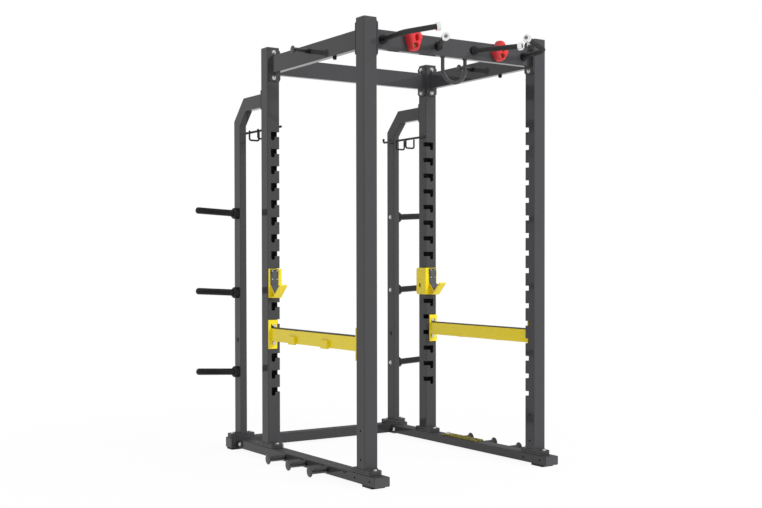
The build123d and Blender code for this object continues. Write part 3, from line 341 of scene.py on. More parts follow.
def rounded_end(radius, top, round_by, steps):
    """Profile points of a rounded edge: a quarter circle from the side, at the radius, to the flat
    end at the top."""
    turn = np.linspace(0, np.pi / 2, steps)
    return np.column_stack(
        [radius - round_by * (1 - np.cos(turn)), top - round_by * (1 - np.sin(turn))])


def turned(side, rim, face, steps, turns):
    """A small turned piece in millimetres: the side's points, a rim rounded by a quarter circle,
    and the face's points make one profile that is turned about Z."""
    return lathe(mm(np.vstack([side, rounded_end(*rim, steps), face])), turns)


def stand(grid, origin, axis):
    """A shape made on the Z axis, moved to a point with its Z along the axis."""
    up = np.array(axis, float) / np.linalg.norm(axis)
    helper = Z if abs(up[2]) < 0.9 else X
    side = np.cross(helper, up)
    side = side / np.linalg.norm(side)
    return np.array(origin, float) + grid @ np.array([side, np.cross(up, side), up])


def stand_all(grid, seats):
    """Copies of a shape on several seats, each a point and an axis."""
    return [stand(grid, *seat) for seat in seats]


def rounded_rectangle(wide, tall, corner, step):
    """Points and outward directions round a rectangle with rounded corners, and their length along
    it. Each corner is a quarter turn about its own centre, and the runs are filled in by length."""
    turn = np.linspace(0, np.pi / 2, 6)
    angle = (np.arange(4)[:, None] * np.pi / 2 + turn).ravel()
    outward = np.column_stack([np.cos(angle), np.sin(angle)])
    quarter = np.repeat([[1, 1], [-1, 1], [-1, -1], [1, -1]], len(turn), axis=0)
    points = quarter * (np.array([wide, tall]) / 2 - corner) + corner * outward
    ring = np.hstack([points, outward])
    ring = np.vstack([ring, ring[:1]])
    runs = np.linalg.norm(np.diff(ring[:, :2], axis=0), axis=1)
    along = np.concatenate([[0], np.cumsum(runs)])
    count = max(len(angle), round(along[-1] / step))
    at = np.linspace(0, along[-1], count, endpoint=False)
    sampled = np.apply_along_axis(lambda values: np.interp(at, along, values), 0, ring)
    return sampled[:, :2], sampled[:, 2:], at


def weld(outline, centre, across, up, bead, ripple):
    """A bead round a tube's outline: a circle of radius b (1 + 0.1 cos of the length) carried along
    the outline, half sunk in the tube and half in the plate that the tube stands on."""
    points, outward, at = outline
    plane = np.array([across, up], float)
    around = at[-1] + at[1]
    waves = round(around / ripple)
    radius = bead * (1 + 0.1 * np.cos(2 * np.pi * waves * at / around))
    turn = np.linspace(0, 2 * np.pi, 8, endpoint=False)
    path = np.array(centre, float) + points @ plane
    section = ((outward @ plane)[:, None, :] * np.cos(turn)[:, None]
               + np.cross(*plane) * np.sin(turn)[:, None])
    return path[:, None, :] + radius[:, None, None] * section


def pillow(wide, tall, corner, rows):
    """A cap over a rounded rectangle: each row is the outline times a scale, at a height."""
    points, _, _ = rounded_rectangle(wide, tall, corner, mm(4))
    scale, height = np.array(rows, float).T
    return raised(scale[:, None, None] * points, height)


def hex_bolt(sizes, grip, turns=24):
    """A hex bolt on a washer. Every row has a height and a round radius; in the head's rows the
    radius is the smaller of that and the hexagon's, which is half the flats over the cosine of the
    angle from a flat's middle, so that the chamfer cuts the six corners in arcs. The crown falls
    with the square of the radius."""
    angle = np.linspace(0, 2 * np.pi, turns, endpoint=False)
    sixth = np.pi / 6
    flat = sizes.head_across / 2
    corner = flat / math.cos(sixth)
    hexagon = flat / np.cos((angle + sixth) % (2 * sixth) - sixth)
    shank, washer = sizes.shank / 2, sizes.washer / 2
    base, top = sizes.washer_tall, sizes.washer_tall + sizes.head_tall - sizes.crown
    face = 0.93 * flat
    round_rows = np.array([
        (0, -grip), (shank, -grip), (shank, 0), (washer, 0), (washer, 0.6 * base),
        (washer - 0.4 * base, base), (corner, base)])
    cut = np.linspace(corner, face, 4)
    chamfer = np.column_stack([cut, top - (cut - face) * math.tan(sixth)])
    head_rows = np.vstack([[(corner, base)], chamfer])
    share = np.linspace(1, 0, 8)[1:]
    crown_rows = np.column_stack([face * share, top + sizes.crown * (1 - share ** 2)])
    rows = np.vstack([round_rows, head_rows, crown_rows])
    is_hex = np.repeat([False, True, False], [len(round_rows), len(head_rows), len(crown_rows)])
    radius = np.where(is_hex[:, None], np.minimum(rows[:, :1], hexagon), rows[:, :1])
    height = np.broadcast_to(rows[:, 1:], radius.shape)
    return np.stack([radius * np.cos(angle), radius * np.sin(angle), height], -1)


def climbing_hold(sides, turns=120, rows=90):
    """A moulded grip. Round the edge, the radius is the 12-norm blend of straight sides, each a
    distance over the cosine of the angle from its normal; from the edge to the front, the radius
    and depth follow a superellipse of the fourth power; the front is uneven by sines of x and z;
    hollows sink by their depth over 1 + q to the 10th, where q is the distance over their radii."""
    angle = np.linspace(0, 2 * np.pi, turns, endpoint=False)
    degrees, distance = np.array(sides, float).T
    reach = np.maximum(np.cos(angle[:, None] - np.radians(degrees)), 0) / mm(distance)
    edge = (reach ** 12).sum(axis=1) ** (-1 / 12)
    sweep = np.linspace(0, np.pi / 2, rows)
    power = 2 / 4
    spread, depth = np.cos(sweep) ** power, HOLD_DEEP * np.sin(sweep) ** power
    x = np.outer(spread, edge * np.cos(angle))
    z = np.outer(spread, edge * np.sin(angle))
    wave_x, wave_z, wave_both = HOLD_WAVES
    wave = np.sin(x / wave_x + 1) * np.sin(z / wave_z + 2) + 0.6 * np.sin((x + z) / wave_both)
    front = np.broadcast_to(depth[:, None], x.shape) * (1 - HOLD_UNEVEN / HOLD_DEEP * (1 + wave))
    share = (depth / depth[-1])[:, None] ** 2
    well = HOLD_SCREW + (HOLD_WELL, HOLD_WELL, HOLD_DEEP - HOLD_SCREW_SEAT)
    for place_x, place_z, wide, tall, deep in (HOLD_POCKET, well):
        far = np.hypot((x - place_x) / wide, (z - place_z) / tall)
        front = front - share * deep / (1 + far ** 10)
    back = np.zeros((1, turns, 3))
    return np.concatenate([back, np.stack([x, -front, z], -1)])


def bent_wire(path, radius, turns=16):
    """A round wire in an XZ plane: a circle carried along the path, square to it, and drawn in at
    both ends."""
    path = np.array(path, float)
    along = np.gradient(path, axis=0)
    along = along / np.linalg.norm(along, axis=1)[:, None]
    tip = radius * np.array([0, 0.2, 0.5, 1])
    drawn = radius * np.array([0, 0.6, 0.87, 1])
    start = path[0] + tip[:, None] * along[0]
    end = path[-1] - tip[::-1, None] * along[-1]
    size = np.concatenate([drawn, np.full(len(path) - 2, radius), drawn[::-1]])
    path = np.vstack([start, path[1:-1], end])
    along = np.repeat(along, [len(tip)] + [1] * (len(along) - 2) + [len(tip)], axis=0)
    turn = np.linspace(0, 2 * np.pi, turns, endpoint=False)
    square = np.cross(along, Y)
    section = square[:, None, :] * np.cos(turn)[:, None] + Y * np.sin(turn)[:, None]
    return path[:, None, :] + size[:, None, None] * section


def u_path(wide, deep, bend):
    """Points of a U in the XZ plane, from the top of its first leg down, along and up its second.
    The corners are quarter circles, and the legs end at height nought."""
    turn = np.linspace(0, np.pi / 2, 9)
    first = np.column_stack([bend * (1 - np.cos(turn)), bend * (1 - np.sin(turn)) - deep])
    first = np.vstack([[(0, 0), (0, -HOOK_STRAIGHT)], first])
    second = first[::-1] * (-1, 1) + (wide, 0)
    x, z = np.vstack([first, second]).T
    return np.column_stack([x, np.zeros(len(x)), z])


def band_peg(stem, disc, long):
    """A turned peg whose stem opens into a disc: in the flare, the radius grows with the square of
    the length."""
    share = np.linspace(0, 1, 9)
    start = long - PEG_DISC - PEG_FLARE
    flare = np.column_stack(
        [stem + (disc - PEG_LIP - stem) * share ** 2, start + PEG_FLARE * share])
    rim = rounded_end(disc, long, PEG_ROUND, 6)
    return lathe(np.vstack([[(0, -SEATED), (stem, -SEATED)], flare, rim, [(0, long)]]))


# Meshes

def grid_faces(grid, closed, start):
    """Quads between neighbouring rows and columns of a grid."""
    index = start + np.arange(grid.shape[0] * grid.shape[1]).reshape(grid.shape[:2])
    after = np.roll(index, -1, axis=0) if closed else index[1:]
    before = index if closed else index[:-1]
    quads = [before, np.roll(before, -1, axis=1), np.roll(after, -1, axis=1), after]
    return np.stack(quads, -1).reshape(-1, 4)


def piece(name, grids, material, node, replaced=True, closed=False, sharp=SHARP_DEGREES):
    """One object from several grids, riding with a CAD node's body."""
    starts = np.cumsum([0] + [grid.shape[0] * grid.shape[1] for grid in grids])
    points = np.concatenate([grid.reshape(-1, 3) for grid in grids])
    faces = np.concatenate(
        [grid_faces(grid, closed, start) for grid, start in zip(grids, starts)])
    mesh = bpy.data.meshes.new(name)
    mesh.from_pydata(points.tolist(), [], faces.tolist())
    dressed(name, mesh, material, node, replaced, sharp)


def dressed(name, mesh, material, node, replaced=True, sharp=SHARP_DEGREES):
    """An object from a mesh: its doubles merged, faces turned outwards, edges smoothed, and finish
    and body given."""
    shell = bmesh.new()
    shell.from_mesh(mesh)
    bmesh.ops.remove_doubles(shell, verts=shell.verts, dist=MERGE_WITHIN)
    bmesh.ops.recalc_face_normals(shell, faces=shell.faces)
    shell.to_mesh(mesh)
    shell.free()
    mesh.polygons.foreach_set("use_smooth", np.ones(len(mesh.polygons), bool))
    mesh.set_sharp_from_angle(angle=math.radians(sharp))
    mesh.materials.append(bpy.data.materials[material])
    item = bpy.data.objects.new(name, mesh)
    bpy.context.scene.collection.objects.link(item)
    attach(item, BODY_OF[node])
    if replaced:
        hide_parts(node)
    return item


def eased(node, material, width):
    """A copy of a CAD node whose edges are rounded, in the node's place."""
    mesh = frame["nodes"][node].data.copy()
    mesh.materials.clear()
    item = dressed(node + "_eased", mesh, material, node)
    rounding = item.modifiers.new("Edge rounding", "BEVEL")
    rounding.width = width
    rounding.segments = EASED_SEGMENTS
    rounding.limit_method = "ANGLE"
    rounding.angle_limit = math.radians(EASED_DEGREES)
    rounding.harden_normals = True


# Finishes

# Sockets of the Mix node, whose names repeat: the factor, then two inputs and a result of a kind.
MIX_FACTOR = 0
MIX_VALUE_A, MIX_VALUE_B, MIX_VALUE = 2, 3, 0
MIX_COLOUR_A, MIX_COLOUR_B, MIX_COLOUR = 6, 7, 2
# Noise between these values spreads over a finish's whole range of roughness.
NOISE_RANGE = {"From Min": 0.3, "From Max": 0.7}
# Heights of an upward-looking normal over which faces take painted shade, a rougher gloss
# and a lower shine that render them darker.
UPWARD_SHADE_RANGE = {"From Min": 0.6, "From Max": 0.95}


def add(tree, kind, values=(), links=(), **settings):
    """One node: settings are its properties, values its own inputs and links its linked inputs."""
    node = tree.nodes.new(kind)
    for name, value in settings.items():
        setattr(node, name, value)
    for socket, value in dict(values).items():
        node.inputs[socket].default_value = value
    for socket, source in dict(links).items():
        tree.links.new(source, node.inputs[socket])
    return node


def per_mm(size):
    """The scale of a texture whose grains are that many millimetres across, on Object coordinates
    in metres."""
    return 1000 / size


def shade(rgb, factor):
    """A linear colour made darker or lighter, with alpha."""
    return tuple(min(1.0, channel * factor) for channel in rgb) + (1.0,)


def finish(name, rgb, spread, mottle, rough, grain, relief, shader, specks=None, upward_shade=None):
    """A finish whose colour, roughness and relief all vary over the surface.
    The colour runs between the darker and lighter ends of spread in patches of mottle millimetres,
    the roughness between the two of rough in the same patches, and the relief stands relief
    millimetres high in grains of grain millimetres. Specks are a size in millimetres, a share of
    the surface and a shade. The last argument is the roughness and the lower shine of faces that
    look up, painted shade that keeps them as dark as the sides. The values of shader go on the
    shader's own sockets."""
    material = bpy.data.materials.new(name)
    material.use_nodes = True
    tree = material.node_tree
    tree.nodes.clear()
    place = {"Vector": add(tree, "ShaderNodeTexCoord").outputs["Object"]}
    patches = add(tree, "ShaderNodeTexNoise", {"Scale": per_mm(mottle), "Detail": 4.0}, place)
    patches = patches.outputs["Fac"]
    tint = add(
        tree, "ShaderNodeMix",
        {MIX_COLOUR_A: shade(rgb, spread[0]), MIX_COLOUR_B: shade(rgb, spread[1])},
        {MIX_FACTOR: patches}, data_type="RGBA").outputs[MIX_COLOUR]
    if specks:
        size, share, factor = specks
        dots = add(tree, "ShaderNodeTexNoise", {"Scale": per_mm(size), "Detail": 1.0}, place)
        seen = add(
            tree, "ShaderNodeMapRange", {"From Min": 0.7 - share, "From Max": 0.75 - share},
            {"Value": dots.outputs["Fac"]})
        tint = add(
            tree, "ShaderNodeMix", {MIX_COLOUR_B: shade(rgb, factor)},
            {MIX_FACTOR: seen.outputs["Result"], MIX_COLOUR_A: tint},
            data_type="RGBA").outputs[MIX_COLOUR]
    gloss = add(
        tree, "ShaderNodeMapRange", {**NOISE_RANGE, "To Min": rough[0], "To Max": rough[1]},
        {"Value": patches}).outputs["Result"]
    grains = add(tree, "ShaderNodeTexNoise", {"Scale": per_mm(grain), "Detail": 2.0}, place)
    bump = add(
        tree, "ShaderNodeBump", {"Strength": 1.0, "Distance": mm(relief)},
        {"Height": grains.outputs["Fac"]})
    links = {"Base Color": tint, "Normal": bump.outputs["Normal"]}
    # Painted shade: faces that look up get a rougher gloss and a lower shine, so they render as
    # dark as the sides.
    if upward_shade:
        upward_rough, upward_shine = upward_shade
        normal = add(tree, "ShaderNodeNewGeometry").outputs["Normal"]
        facing = {"Value": add(tree, "ShaderNodeSeparateXYZ", (), {0: normal}).outputs["Z"]}
        upward_share = add(tree, "ShaderNodeMapRange", UPWARD_SHADE_RANGE, facing)
        gloss = add(
            tree, "ShaderNodeMix", {MIX_VALUE_B: upward_rough},
            {MIX_FACTOR: upward_share.outputs["Result"], MIX_VALUE_A: gloss}).outputs[MIX_VALUE]
        links["Specular IOR Level"] = add(
            tree, "ShaderNodeMapRange", {**UPWARD_SHADE_RANGE, "To Min": 0.5, "To Max": upward_shine},
            facing).outputs["Result"]
    links["Roughness"] = gloss
    surface = add(tree, "ShaderNodeBsdfPrincipled", shader, links)
    add(tree, "ShaderNodeOutputMaterial", (), {"Surface": surface.outputs["BSDF"]})


# The finish that each material slot of the record takes.
FINISH_OF_SLOT = {
    "frame_paint": "powder_coated_steel",
    "yellow_paint": "yellow_powder_coat",
    "black_paint": "satin_black_paint",
    "black_plastic": "moulded_abs",
    "rubber": "black_rubber",
    "zinc_steel": "zinc_plated_steel",
    "grey_plastic": "wear_polyethylene",
    "red_resin": "polyurethane_resin",
}


def make_finishes(colours):
    """Every finish of the cage."""
    # Gloss powder coat: clear, weak reflections, faint mottling, and fine orange peel drawn at
    # twice its real 2 mm. The IOR is below a paint's usual 1.5, as the real frame mirrors little.
    finish("powder_coated_steel", colours.frame_paint, spread=(0.94, 1.06), mottle=110,
           rough=(0.05, 0.1), grain=4, relief=0.003, shader={"IOR": 1.29}, upward_shade=(0.55, 0.12))
    # Yellow powder coat: brighter and a little softer than the frame's, with the same orange peel.
    finish("yellow_powder_coat", colours.yellow_paint, spread=(0.95, 1.04), mottle=70,
           rough=(0.18, 0.28), grain=4, relief=0.01, shader={"IOR": 1.42}, upward_shade=(0.5, 0.2))
    # Dull, darker olive-yellow paint with dark specks about 9 mm across.
    finish("speckled_olive_yellow_paint", colours.strap, spread=(0.6, 1.1), mottle=18,
           rough=(0.45, 0.65), grain=5, relief=0.05, shader={"IOR": 1.45},
           specks=(9, 0.16, 0.25), upward_shade=(0.7, 0.05))
    # Sprayed satin paint: deep black with a soft, slightly uneven sheen.
    finish("satin_black_paint", colours.black_paint, spread=(0.9, 1.12), mottle=60,
           rough=(0.3, 0.42), grain=4, relief=0.02, shader={"IOR": 1.4}, upward_shade=(0.6, 0.2))
    # Gloss black paint: dark where it faces the frame, and pale where it mirrors the studio.
    finish("gloss_black_paint", colours.gloss_black, spread=(0.92, 1.1), mottle=50,
           rough=(0.12, 0.2), grain=4, relief=0.006, shader={"IOR": 1.5}, upward_shade=(0.5, 0.3))
    # Injection-moulded ABS: dull black with a spark-eroded grain, drawn coarser than its 0.3 mm.
    finish("moulded_abs", colours.black_plastic, spread=(0.92, 1.1), mottle=40,
           rough=(0.42, 0.55), grain=2, relief=0.06, shader={"IOR": 1.38}, upward_shade=(0.65, 0.25))
    # The same moulding in grey, for the ends of the frame's tubes.
    finish("moulded_grey_abs", colours.grey_cap, spread=(0.9, 1.12), mottle=30,
           rough=(0.35, 0.5), grain=2, relief=0.06, shader={"IOR": 1.5}, upward_shade=(0.65, 0.25))
    # Moulded rubber: dull, with pale dust in its pores, drawn coarser than their 1 mm.
    finish("black_rubber", colours.rubber, spread=(0.85, 1.2), mottle=30,
           rough=(0.55, 0.7), grain=3, relief=0.08, shader={"IOR": 1.52}, specks=(4, 0.08, 1.8))
    # Bright zinc plating: silvery, with faint spangle from the bath.
    finish("zinc_plated_steel", colours.zinc_steel, spread=(0.88, 1.05), mottle=12,
           rough=(0.05, 0.1), grain=3, relief=0.005, shader={"Metallic": 1.0},
           specks=(5, 0.12, 0.9))
    # Zinc of the holds' screws: a warm, hazy silver, darker than the bolts' as painted shade for
    # the deep wells they sit in.
    finish("well_shaded_zinc", colours.shaded_screw_zinc, spread=(0.85, 1.1), mottle=9,
           rough=(0.35, 0.5), grain=3, relief=0.02, shader={"Metallic": 1.0}, specks=(4, 0.1, 0.8))
    # Decorative chrome: a clear mirror with slight polishing haze.
    finish("chrome_plate", colours.chrome, spread=(0.96, 1.02), mottle=20,
           rough=(0.05, 0.1), grain=6, relief=0.003, shader={"Metallic": 1.0})
    # Bead-blasted steel: an even, dull grey in the bright caps, its pits drawn coarser than 0.2 mm.
    finish("blasted_steel", colours.blasted, spread=(0.9, 1.1), mottle=8,
           rough=(0.42, 0.55), grain=2, relief=0.03, shader={"Metallic": 1.0})
    # Machined ultra-high-weight polyethylene: waxy, with pale scuffs where bars have rolled.
    finish("wear_polyethylene", colours.grey_plastic, spread=(0.9, 1.1), mottle=25,
           rough=(0.38, 0.5), grain=2, relief=0.04, shader={"IOR": 1.52}, specks=(6, 0.1, 1.3))
    # Cast polyurethane with sand in its skin: rough and grippy, with darker grains in it, drawn
    # coarser than their 0.5 mm.
    finish("polyurethane_resin", colours.red_resin, spread=(0.88, 1.12), mottle=8,
           rough=(0.45, 0.6), grain=2.2, relief=0.2, shader={"IOR": 1.5}, specks=(3, 0.1, 0.7))


class CAGE_OT_finishes(bpy.types.Operator):
    """Make the finishes and give every CAD node its own"""

    bl_idname = "cage.finishes"
    bl_label = "Finishes"

    def execute(self, context):
        make_finishes(context.scene.cage_colours)
        for node, item in frame["nodes"].items():
            item.data.materials.clear()
            item.data.materials.append(bpy.data.materials[FINISH_OF_SLOT[SLOT_OF[node]]])
        return {"FINISHED"}


class CAGE_OT_welds(bpy.types.Operator):
    """Lay weld beads where tubes meet their plates and round the flanges' edges"""

    bl_idname = "cage.welds"
    bl_label = "Welds and flanges"

    def execute(self, context):
        sizes = context.scene.cage_sizes
        step = sizes.weld_ripple / 4
        beam = rounded_rectangle(BEAM_THICK, BEAM_TALL, TUBE_CORNER, step)
        post = rounded_rectangle(POST_WIDE, POST_DEEP, TUBE_CORNER, step)
        upright = rounded_rectangle(UPRIGHT, UPRIGHT, UPRIGHT_CORNER, step)
        ring = rounded_rectangle(RING_BAR, RING_BAR, RING_CORNER, step)
        runs = []
        for side in SIDES:
            runs += [(beam, (side * HALF, SIDE_BEAM_FRONT, BEAM_MID), -X, Z),
                     (beam, (side * HALF, SIDE_BEAM_BACK, BEAM_MID), X, Z),
                     (beam, (side * BEAM_END, FRONT_BEAM_Y, BEAM_MID), -side * Y, Z),
                     (beam, (side * BEAM_END, REAR_Y, BEAM_MID), -side * Y, Z),
                     (post, (side * HALF, ARM_FRONT, ARM_MID), -X, Z),
                     (upright, (side * HALF, FRONT_Y, FOOT_TOP), X, Y),
                     (upright, (side * HALF, REAR_Y, FOOT_TOP), X, Y),
                     (post, (side * HALF, STORAGE_Y, STORAGE_FOOT_TOP), X, Y),
                     (ring, (side * RING_HALF, FRONT_BEAM_Y, BEAM_MID - BEAM_TALL / 2), X, -Y)]
        beads = [weld(*run, sizes.weld, sizes.weld_ripple) for run in runs]
        piece("weld_beads", beads, "powder_coated_steel", "beam_flanges", replaced=False,
              closed=True, sharp=80)
        for plates in ("beam_flanges", "storage_arm_flanges"):
            eased(plates, "powder_coated_steel", sizes.edge)
        return {"FINISHED"}


class CAGE_OT_bolts(bpy.types.Operator):
    """Set the hex bolts of the flanges, feet, rails and horns, and the climbing holds' screws"""

    bl_idname = "cage.bolts"
    bl_label = "Bolts"

    def execute(self, context):
        flange, base, horn = [], [], []
        for side in SIDES:
            spigot_y = CROSS_FRONT - SPIGOT_BOLT_BACK
            base.append(((side * HALF - RAIL_WIDE / 2, spigot_y, RAIL_MID), -X))
            for end in SIDES:
                height = BEAM_MID + end * FLANGE_BOLTS / 2
                flange += [((side * HALF, SIDE_BEAM_FRONT, height), Y),
                           ((side * HALF, SIDE_BEAM_BACK, height), -Y),
                           ((side * BEAM_END, FRONT_Y, height), -side * X),
                           ((side * BEAM_END, REAR_Y, height), -side * X),
                           ((side * HALF, ARM_FRONT, ARM_MID + end * ARM_BOLTS / 2), Y)]
                across = side * HALF + end * STORAGE_FOOT_BOLTS / 2
                base += [((side * HALF + end * REAR_BOLTS / 2, CROSS_BACK, RAIL_MID), Y),
                         ((side * HALF, FRONT_Y + end * FOOT_BOLTS / 2, FOOT_TOP), Z),
                         ((side * HALF, REAR_Y + end * FOOT_BOLTS / 2, FOOT_TOP), Z),
                         ((across, STORAGE_Y, STORAGE_FOOT_TOP), Z)]
            horn += [((side * (HALF - POST_WIDE / 2), STORAGE_Y, height), -side * X)
                     for height in HORN_HEIGHTS]
        zinc = "zinc_plated_steel"
        bolt = hex_bolt(context.scene.cage_sizes, BOLT_GRIP)
        _, strap_back, strap_top = high("rail_strap")
        strap_seat = (HALF, strap_back - STRAP_BOLT_BACK, strap_top)
        strap_bolt = stand(STRAP_BOLT_SCALE * bolt, strap_seat, Z)
        piece("flange_hex_bolts", stand_all(bolt, flange), zinc, "flange_bolts")
        piece("base_hex_bolts", stand_all(bolt, base) + [strap_bolt], zinc, "base_bolts")
        piece("horn_hex_bolts", stand_all(bolt, horn), zinc, "horn_bolts")
        screw_x, screw_z = HOLD_SCREW
        seats = [((place + screw_x, FRONT_BEAM_FACE - HOLD_SCREW_SEAT,
                   BEAM_MID + HOLD_RISE + screw_z), -Y) for place in HOLD_PLACES]
        piece("hold_cap_screws", stand_all(turned(**HOLD_CAP_SCREW), seats), "well_shaded_zinc",
              "climbing_hold_bolts")
        return {"FINISHED"}


class CAGE_OT_horns(bpy.types.Operator):
    """Turn the plate horns with their collars and rounded caps"""

    bl_idname = "cage.horns"
    bl_label = "Plate horns"

    def execute(self, context):
        sizes = context.scene.cage_sizes
        horn, collar, end = sizes.horn / 2, sizes.collar / 2, sizes.collar_long
        sunk, shoulder, seam = end - SLEEVE_SUNK, end - COLLAR_STEP, sizes.horn_long - HORN_CAP
        sleeve = lathe([(0, sunk), (horn, sunk), (horn, seam - HORN_SEAM), (horn - HORN_SEAM, seam),
                        (0, seam)])
        flare = lathe(np.vstack([
            [(0, -SEATED), (collar, -SEATED), (collar, shoulder - COLLAR_ROUND)],
            rounded_end(collar, shoulder, COLLAR_ROUND, 4),
            rounded_end(collar - COLLAR_STEP_IN, end, COLLAR_ROUND, 4), [(0, end)]]))
        tip = lathe(np.vstack([
            [(0, seam), (horn - HORN_SEAM, seam), (horn, seam + HORN_SEAM)],
            rounded_end(horn, sizes.horn_long, HORN_CAP_ROUND, 14), [(0, sizes.horn_long)]]))
        seats = [((side * (HALF + POST_WIDE / 2), STORAGE_Y, height),
                  (side * math.cos(HORN_TILT), 0, math.sin(HORN_TILT)))
                 for side in SIDES for height in HORN_HEIGHTS]
        piece("horn_sleeves", stand_all(sleeve, seats), "satin_black_paint", "plate_horns")
        piece("horn_flares", stand_all(flare, seats), "moulded_abs", "horn_collars")
        piece("horn_tips", stand_all(tip, seats), "moulded_abs", "horn_end_caps")
        return {"FINISHED"}


class CAGE_OT_caps(bpy.types.Operator):
    """Mould the caps of the uprights, rails and crossmember, and the post plugs"""

    bl_idname = "cage.caps"
    bl_label = "Caps and plugs"

    def execute(self, context):
        lid = pillow(UPRIGHT, UPRIGHT, UPRIGHT_CORNER, LID_ROWS)
        lids = [lid + np.array([side * HALF, place, UPRIGHT_TOP])
                for side in SIDES for place in (FRONT_Y, REAR_Y)]
        piece("upright_lids", lids, "moulded_grey_abs", "upright_top_caps")

        rail = pillow(RAIL_WIDE, RAIL_TALL, TUBE_CORNER, PLUG_ROWS)
        cross = pillow(CROSS_DEEP, CROSS_TALL, TUBE_CORNER, PLUG_ROWS)
        plugs = [np.array([side * HALF, RAIL_START, RAIL_MID]) + rail @ np.array([X, Z, -Y])
                 for side in SIDES]
        plugs += [np.array([side * CROSS_END, STORAGE_Y, CROSS_MID])
                  + cross @ np.array([Y, Z, side * X]) for side in SIDES]
        piece("tube_plugs", plugs, "moulded_grey_abs", "tube_end_caps")

        seats = [((side * HALF + end * POST_WIDE / 2, STORAGE_Y, PLUG_HEIGHT), end * X)
                 for side in SIDES for end in SIDES]
        piece("post_hole_plugs", stand_all(turned(**POST_PLUG), seats), "moulded_abs",
              "storage_post_plugs")
        return {"FINISHED"}


class CAGE_OT_feet(bpy.types.Operator):
    """Mould the ribbed rubber feet"""

    bl_idname = "cage.feet"
    bl_label = "Rubber feet"

    def execute(self, context):
        tall = low("right_base_rail")[2]
        share = np.linspace(0, 1, 25)
        ribs = 1 - FOOT_RIB_SHARE * np.sin(share * FOOT_RIBS * np.pi) ** 2
        heights = FOOT_LIP + share * (tall - 1.5 * FOOT_LIP)
        rows = np.vstack([[(0, 0), (0.94, 0)], np.column_stack([ribs, heights]),
                          [(0.96, tall), (0, tall)]])
        front, rear = pillow(*FRONT_FOOT, rows), pillow(*REAR_FOOT, rows)
        front_y, rear_x = RAIL_START + FRONT_FOOT_BACK, CROSS_END - REAR_FOOT_IN
        pads = [front + np.array([side * HALF, front_y, 0]) for side in SIDES]
        pads += [rear + np.array([side * rear_x, STORAGE_Y, 0]) for side in SIDES]
        piece("ribbed_feet", pads, "black_rubber", "rubber_feet", sharp=50)
        return {"FINISHED"}


class CAGE_OT_grips(bpy.types.Operator):
    """Turn the bright end caps of the pull-up handles and round the handles' collars"""

    bl_idname = "cage.grips"
    bl_label = "Handle caps and collars"

    def execute(self, context):
        seats = []
        for side in SIDES:
            for inward, run in ((True, OUTER_HANDLE_END), (False, INNER_HANDLE_END)):
                points = np.array(run)
                points[:, 0] = side * (HALF - points[:, 0] if inward else points[:, 0])
                points[:, 1:] += (FRONT_BEAM_FACE, BEAM_MID)
                seats.append((points[1], points[1] - points[0]))
        piece("handle_chrome_caps", stand_all(turned(**HANDLE_CAP), seats), "chrome_plate",
              "handle_end_caps")
        piece("handle_cap_screws", stand_all(turned(**HANDLE_CAP_SCREW), seats), "blasted_steel",
              "handle_end_caps", replaced=False)
        eased("handle_collars", "satin_black_paint", HANDLE_COLLAR_EDGE)
        return {"FINISHED"}


class CAGE_OT_holds(bpy.types.Operator):
    """Cast the climbing holds"""

    bl_idname = "cage.holds"
    bl_label = "Climbing holds"

    def execute(self, context):
        holds = [climbing_hold(sides) + np.array([place, FRONT_BEAM_FACE, BEAM_MID + HOLD_RISE])
                 for sides, place in zip((LEFT_HOLD_SIDES, RIGHT_HOLD_SIDES), HOLD_PLACES)]
        piece("cast_holds", holds, "polyurethane_resin", "climbing_holds", sharp=70)
        return {"FINISHED"}


class CAGE_OT_supports(bpy.types.Operator):
    """Round the edges of the rests, safety bars and strap, and set the rests' screws and the
    black discs of painted shade in their holes
    """

    bl_idname = "cage.supports"
    bl_label = "Bar rests, safety bars and strap"

    def execute(self, context):
        edge = context.scene.cage_sizes.edge
        yellow, zinc, rubber = "yellow_powder_coat", "zinc_plated_steel", "black_rubber"
        button = turned(**BUTTON_SCREW)
        radius, tall, _ = mm(np.array(BUTTON_SCREW["rim"]))
        hole_shade = pillow(*HOLE_SHADE_DISC, HOLE_SHADE_ROWS)
        for side, way in (("left", 1), ("right", -1)):
            bracket, liner = f"{side}_bar_rest_bracket", f"{side}_bar_rest_liner"
            eased(bracket, yellow, edge)
            eased(liner, "wear_polyethylene", edge)
            eased(f"{side}_safety_end_plates", yellow, edge)
            eased(f"{side}_safety_blocks", yellow, edge)
            eased(f"{side}_safety_pad", rubber, edge)
            eased(f"{side}_safety_studs", zinc, edge)
            inner = high(bracket)[0] if way > 0 else low(bracket)[0]
            mouth = np.array([inner, *(low(bracket)[1:] + HOLE_SHADE_PLACE)])
            # A black disc sunk in the side hole: painted shade for the hole's dark inside.
            piece(f"{side}_rest_hole_shade", [mouth + hole_shade @ np.array([Y, Z, way * X])], rubber, liner,
                  replaced=False)
            screws = f"{side}_bar_rest_screws"
            start, end = low(screws) + radius, high(screws) - radius
            seats = [((x, low(screws)[1] + tall, z), -Y)
                     for x in (start[0], end[0]) for z in (start[2], end[2])]
            piece(f"{side}_rest_button_screws", stand_all(button, seats), zinc, screws)
        eased("rail_strap", "speckled_olive_yellow_paint", edge)
        return {"FINISHED"}


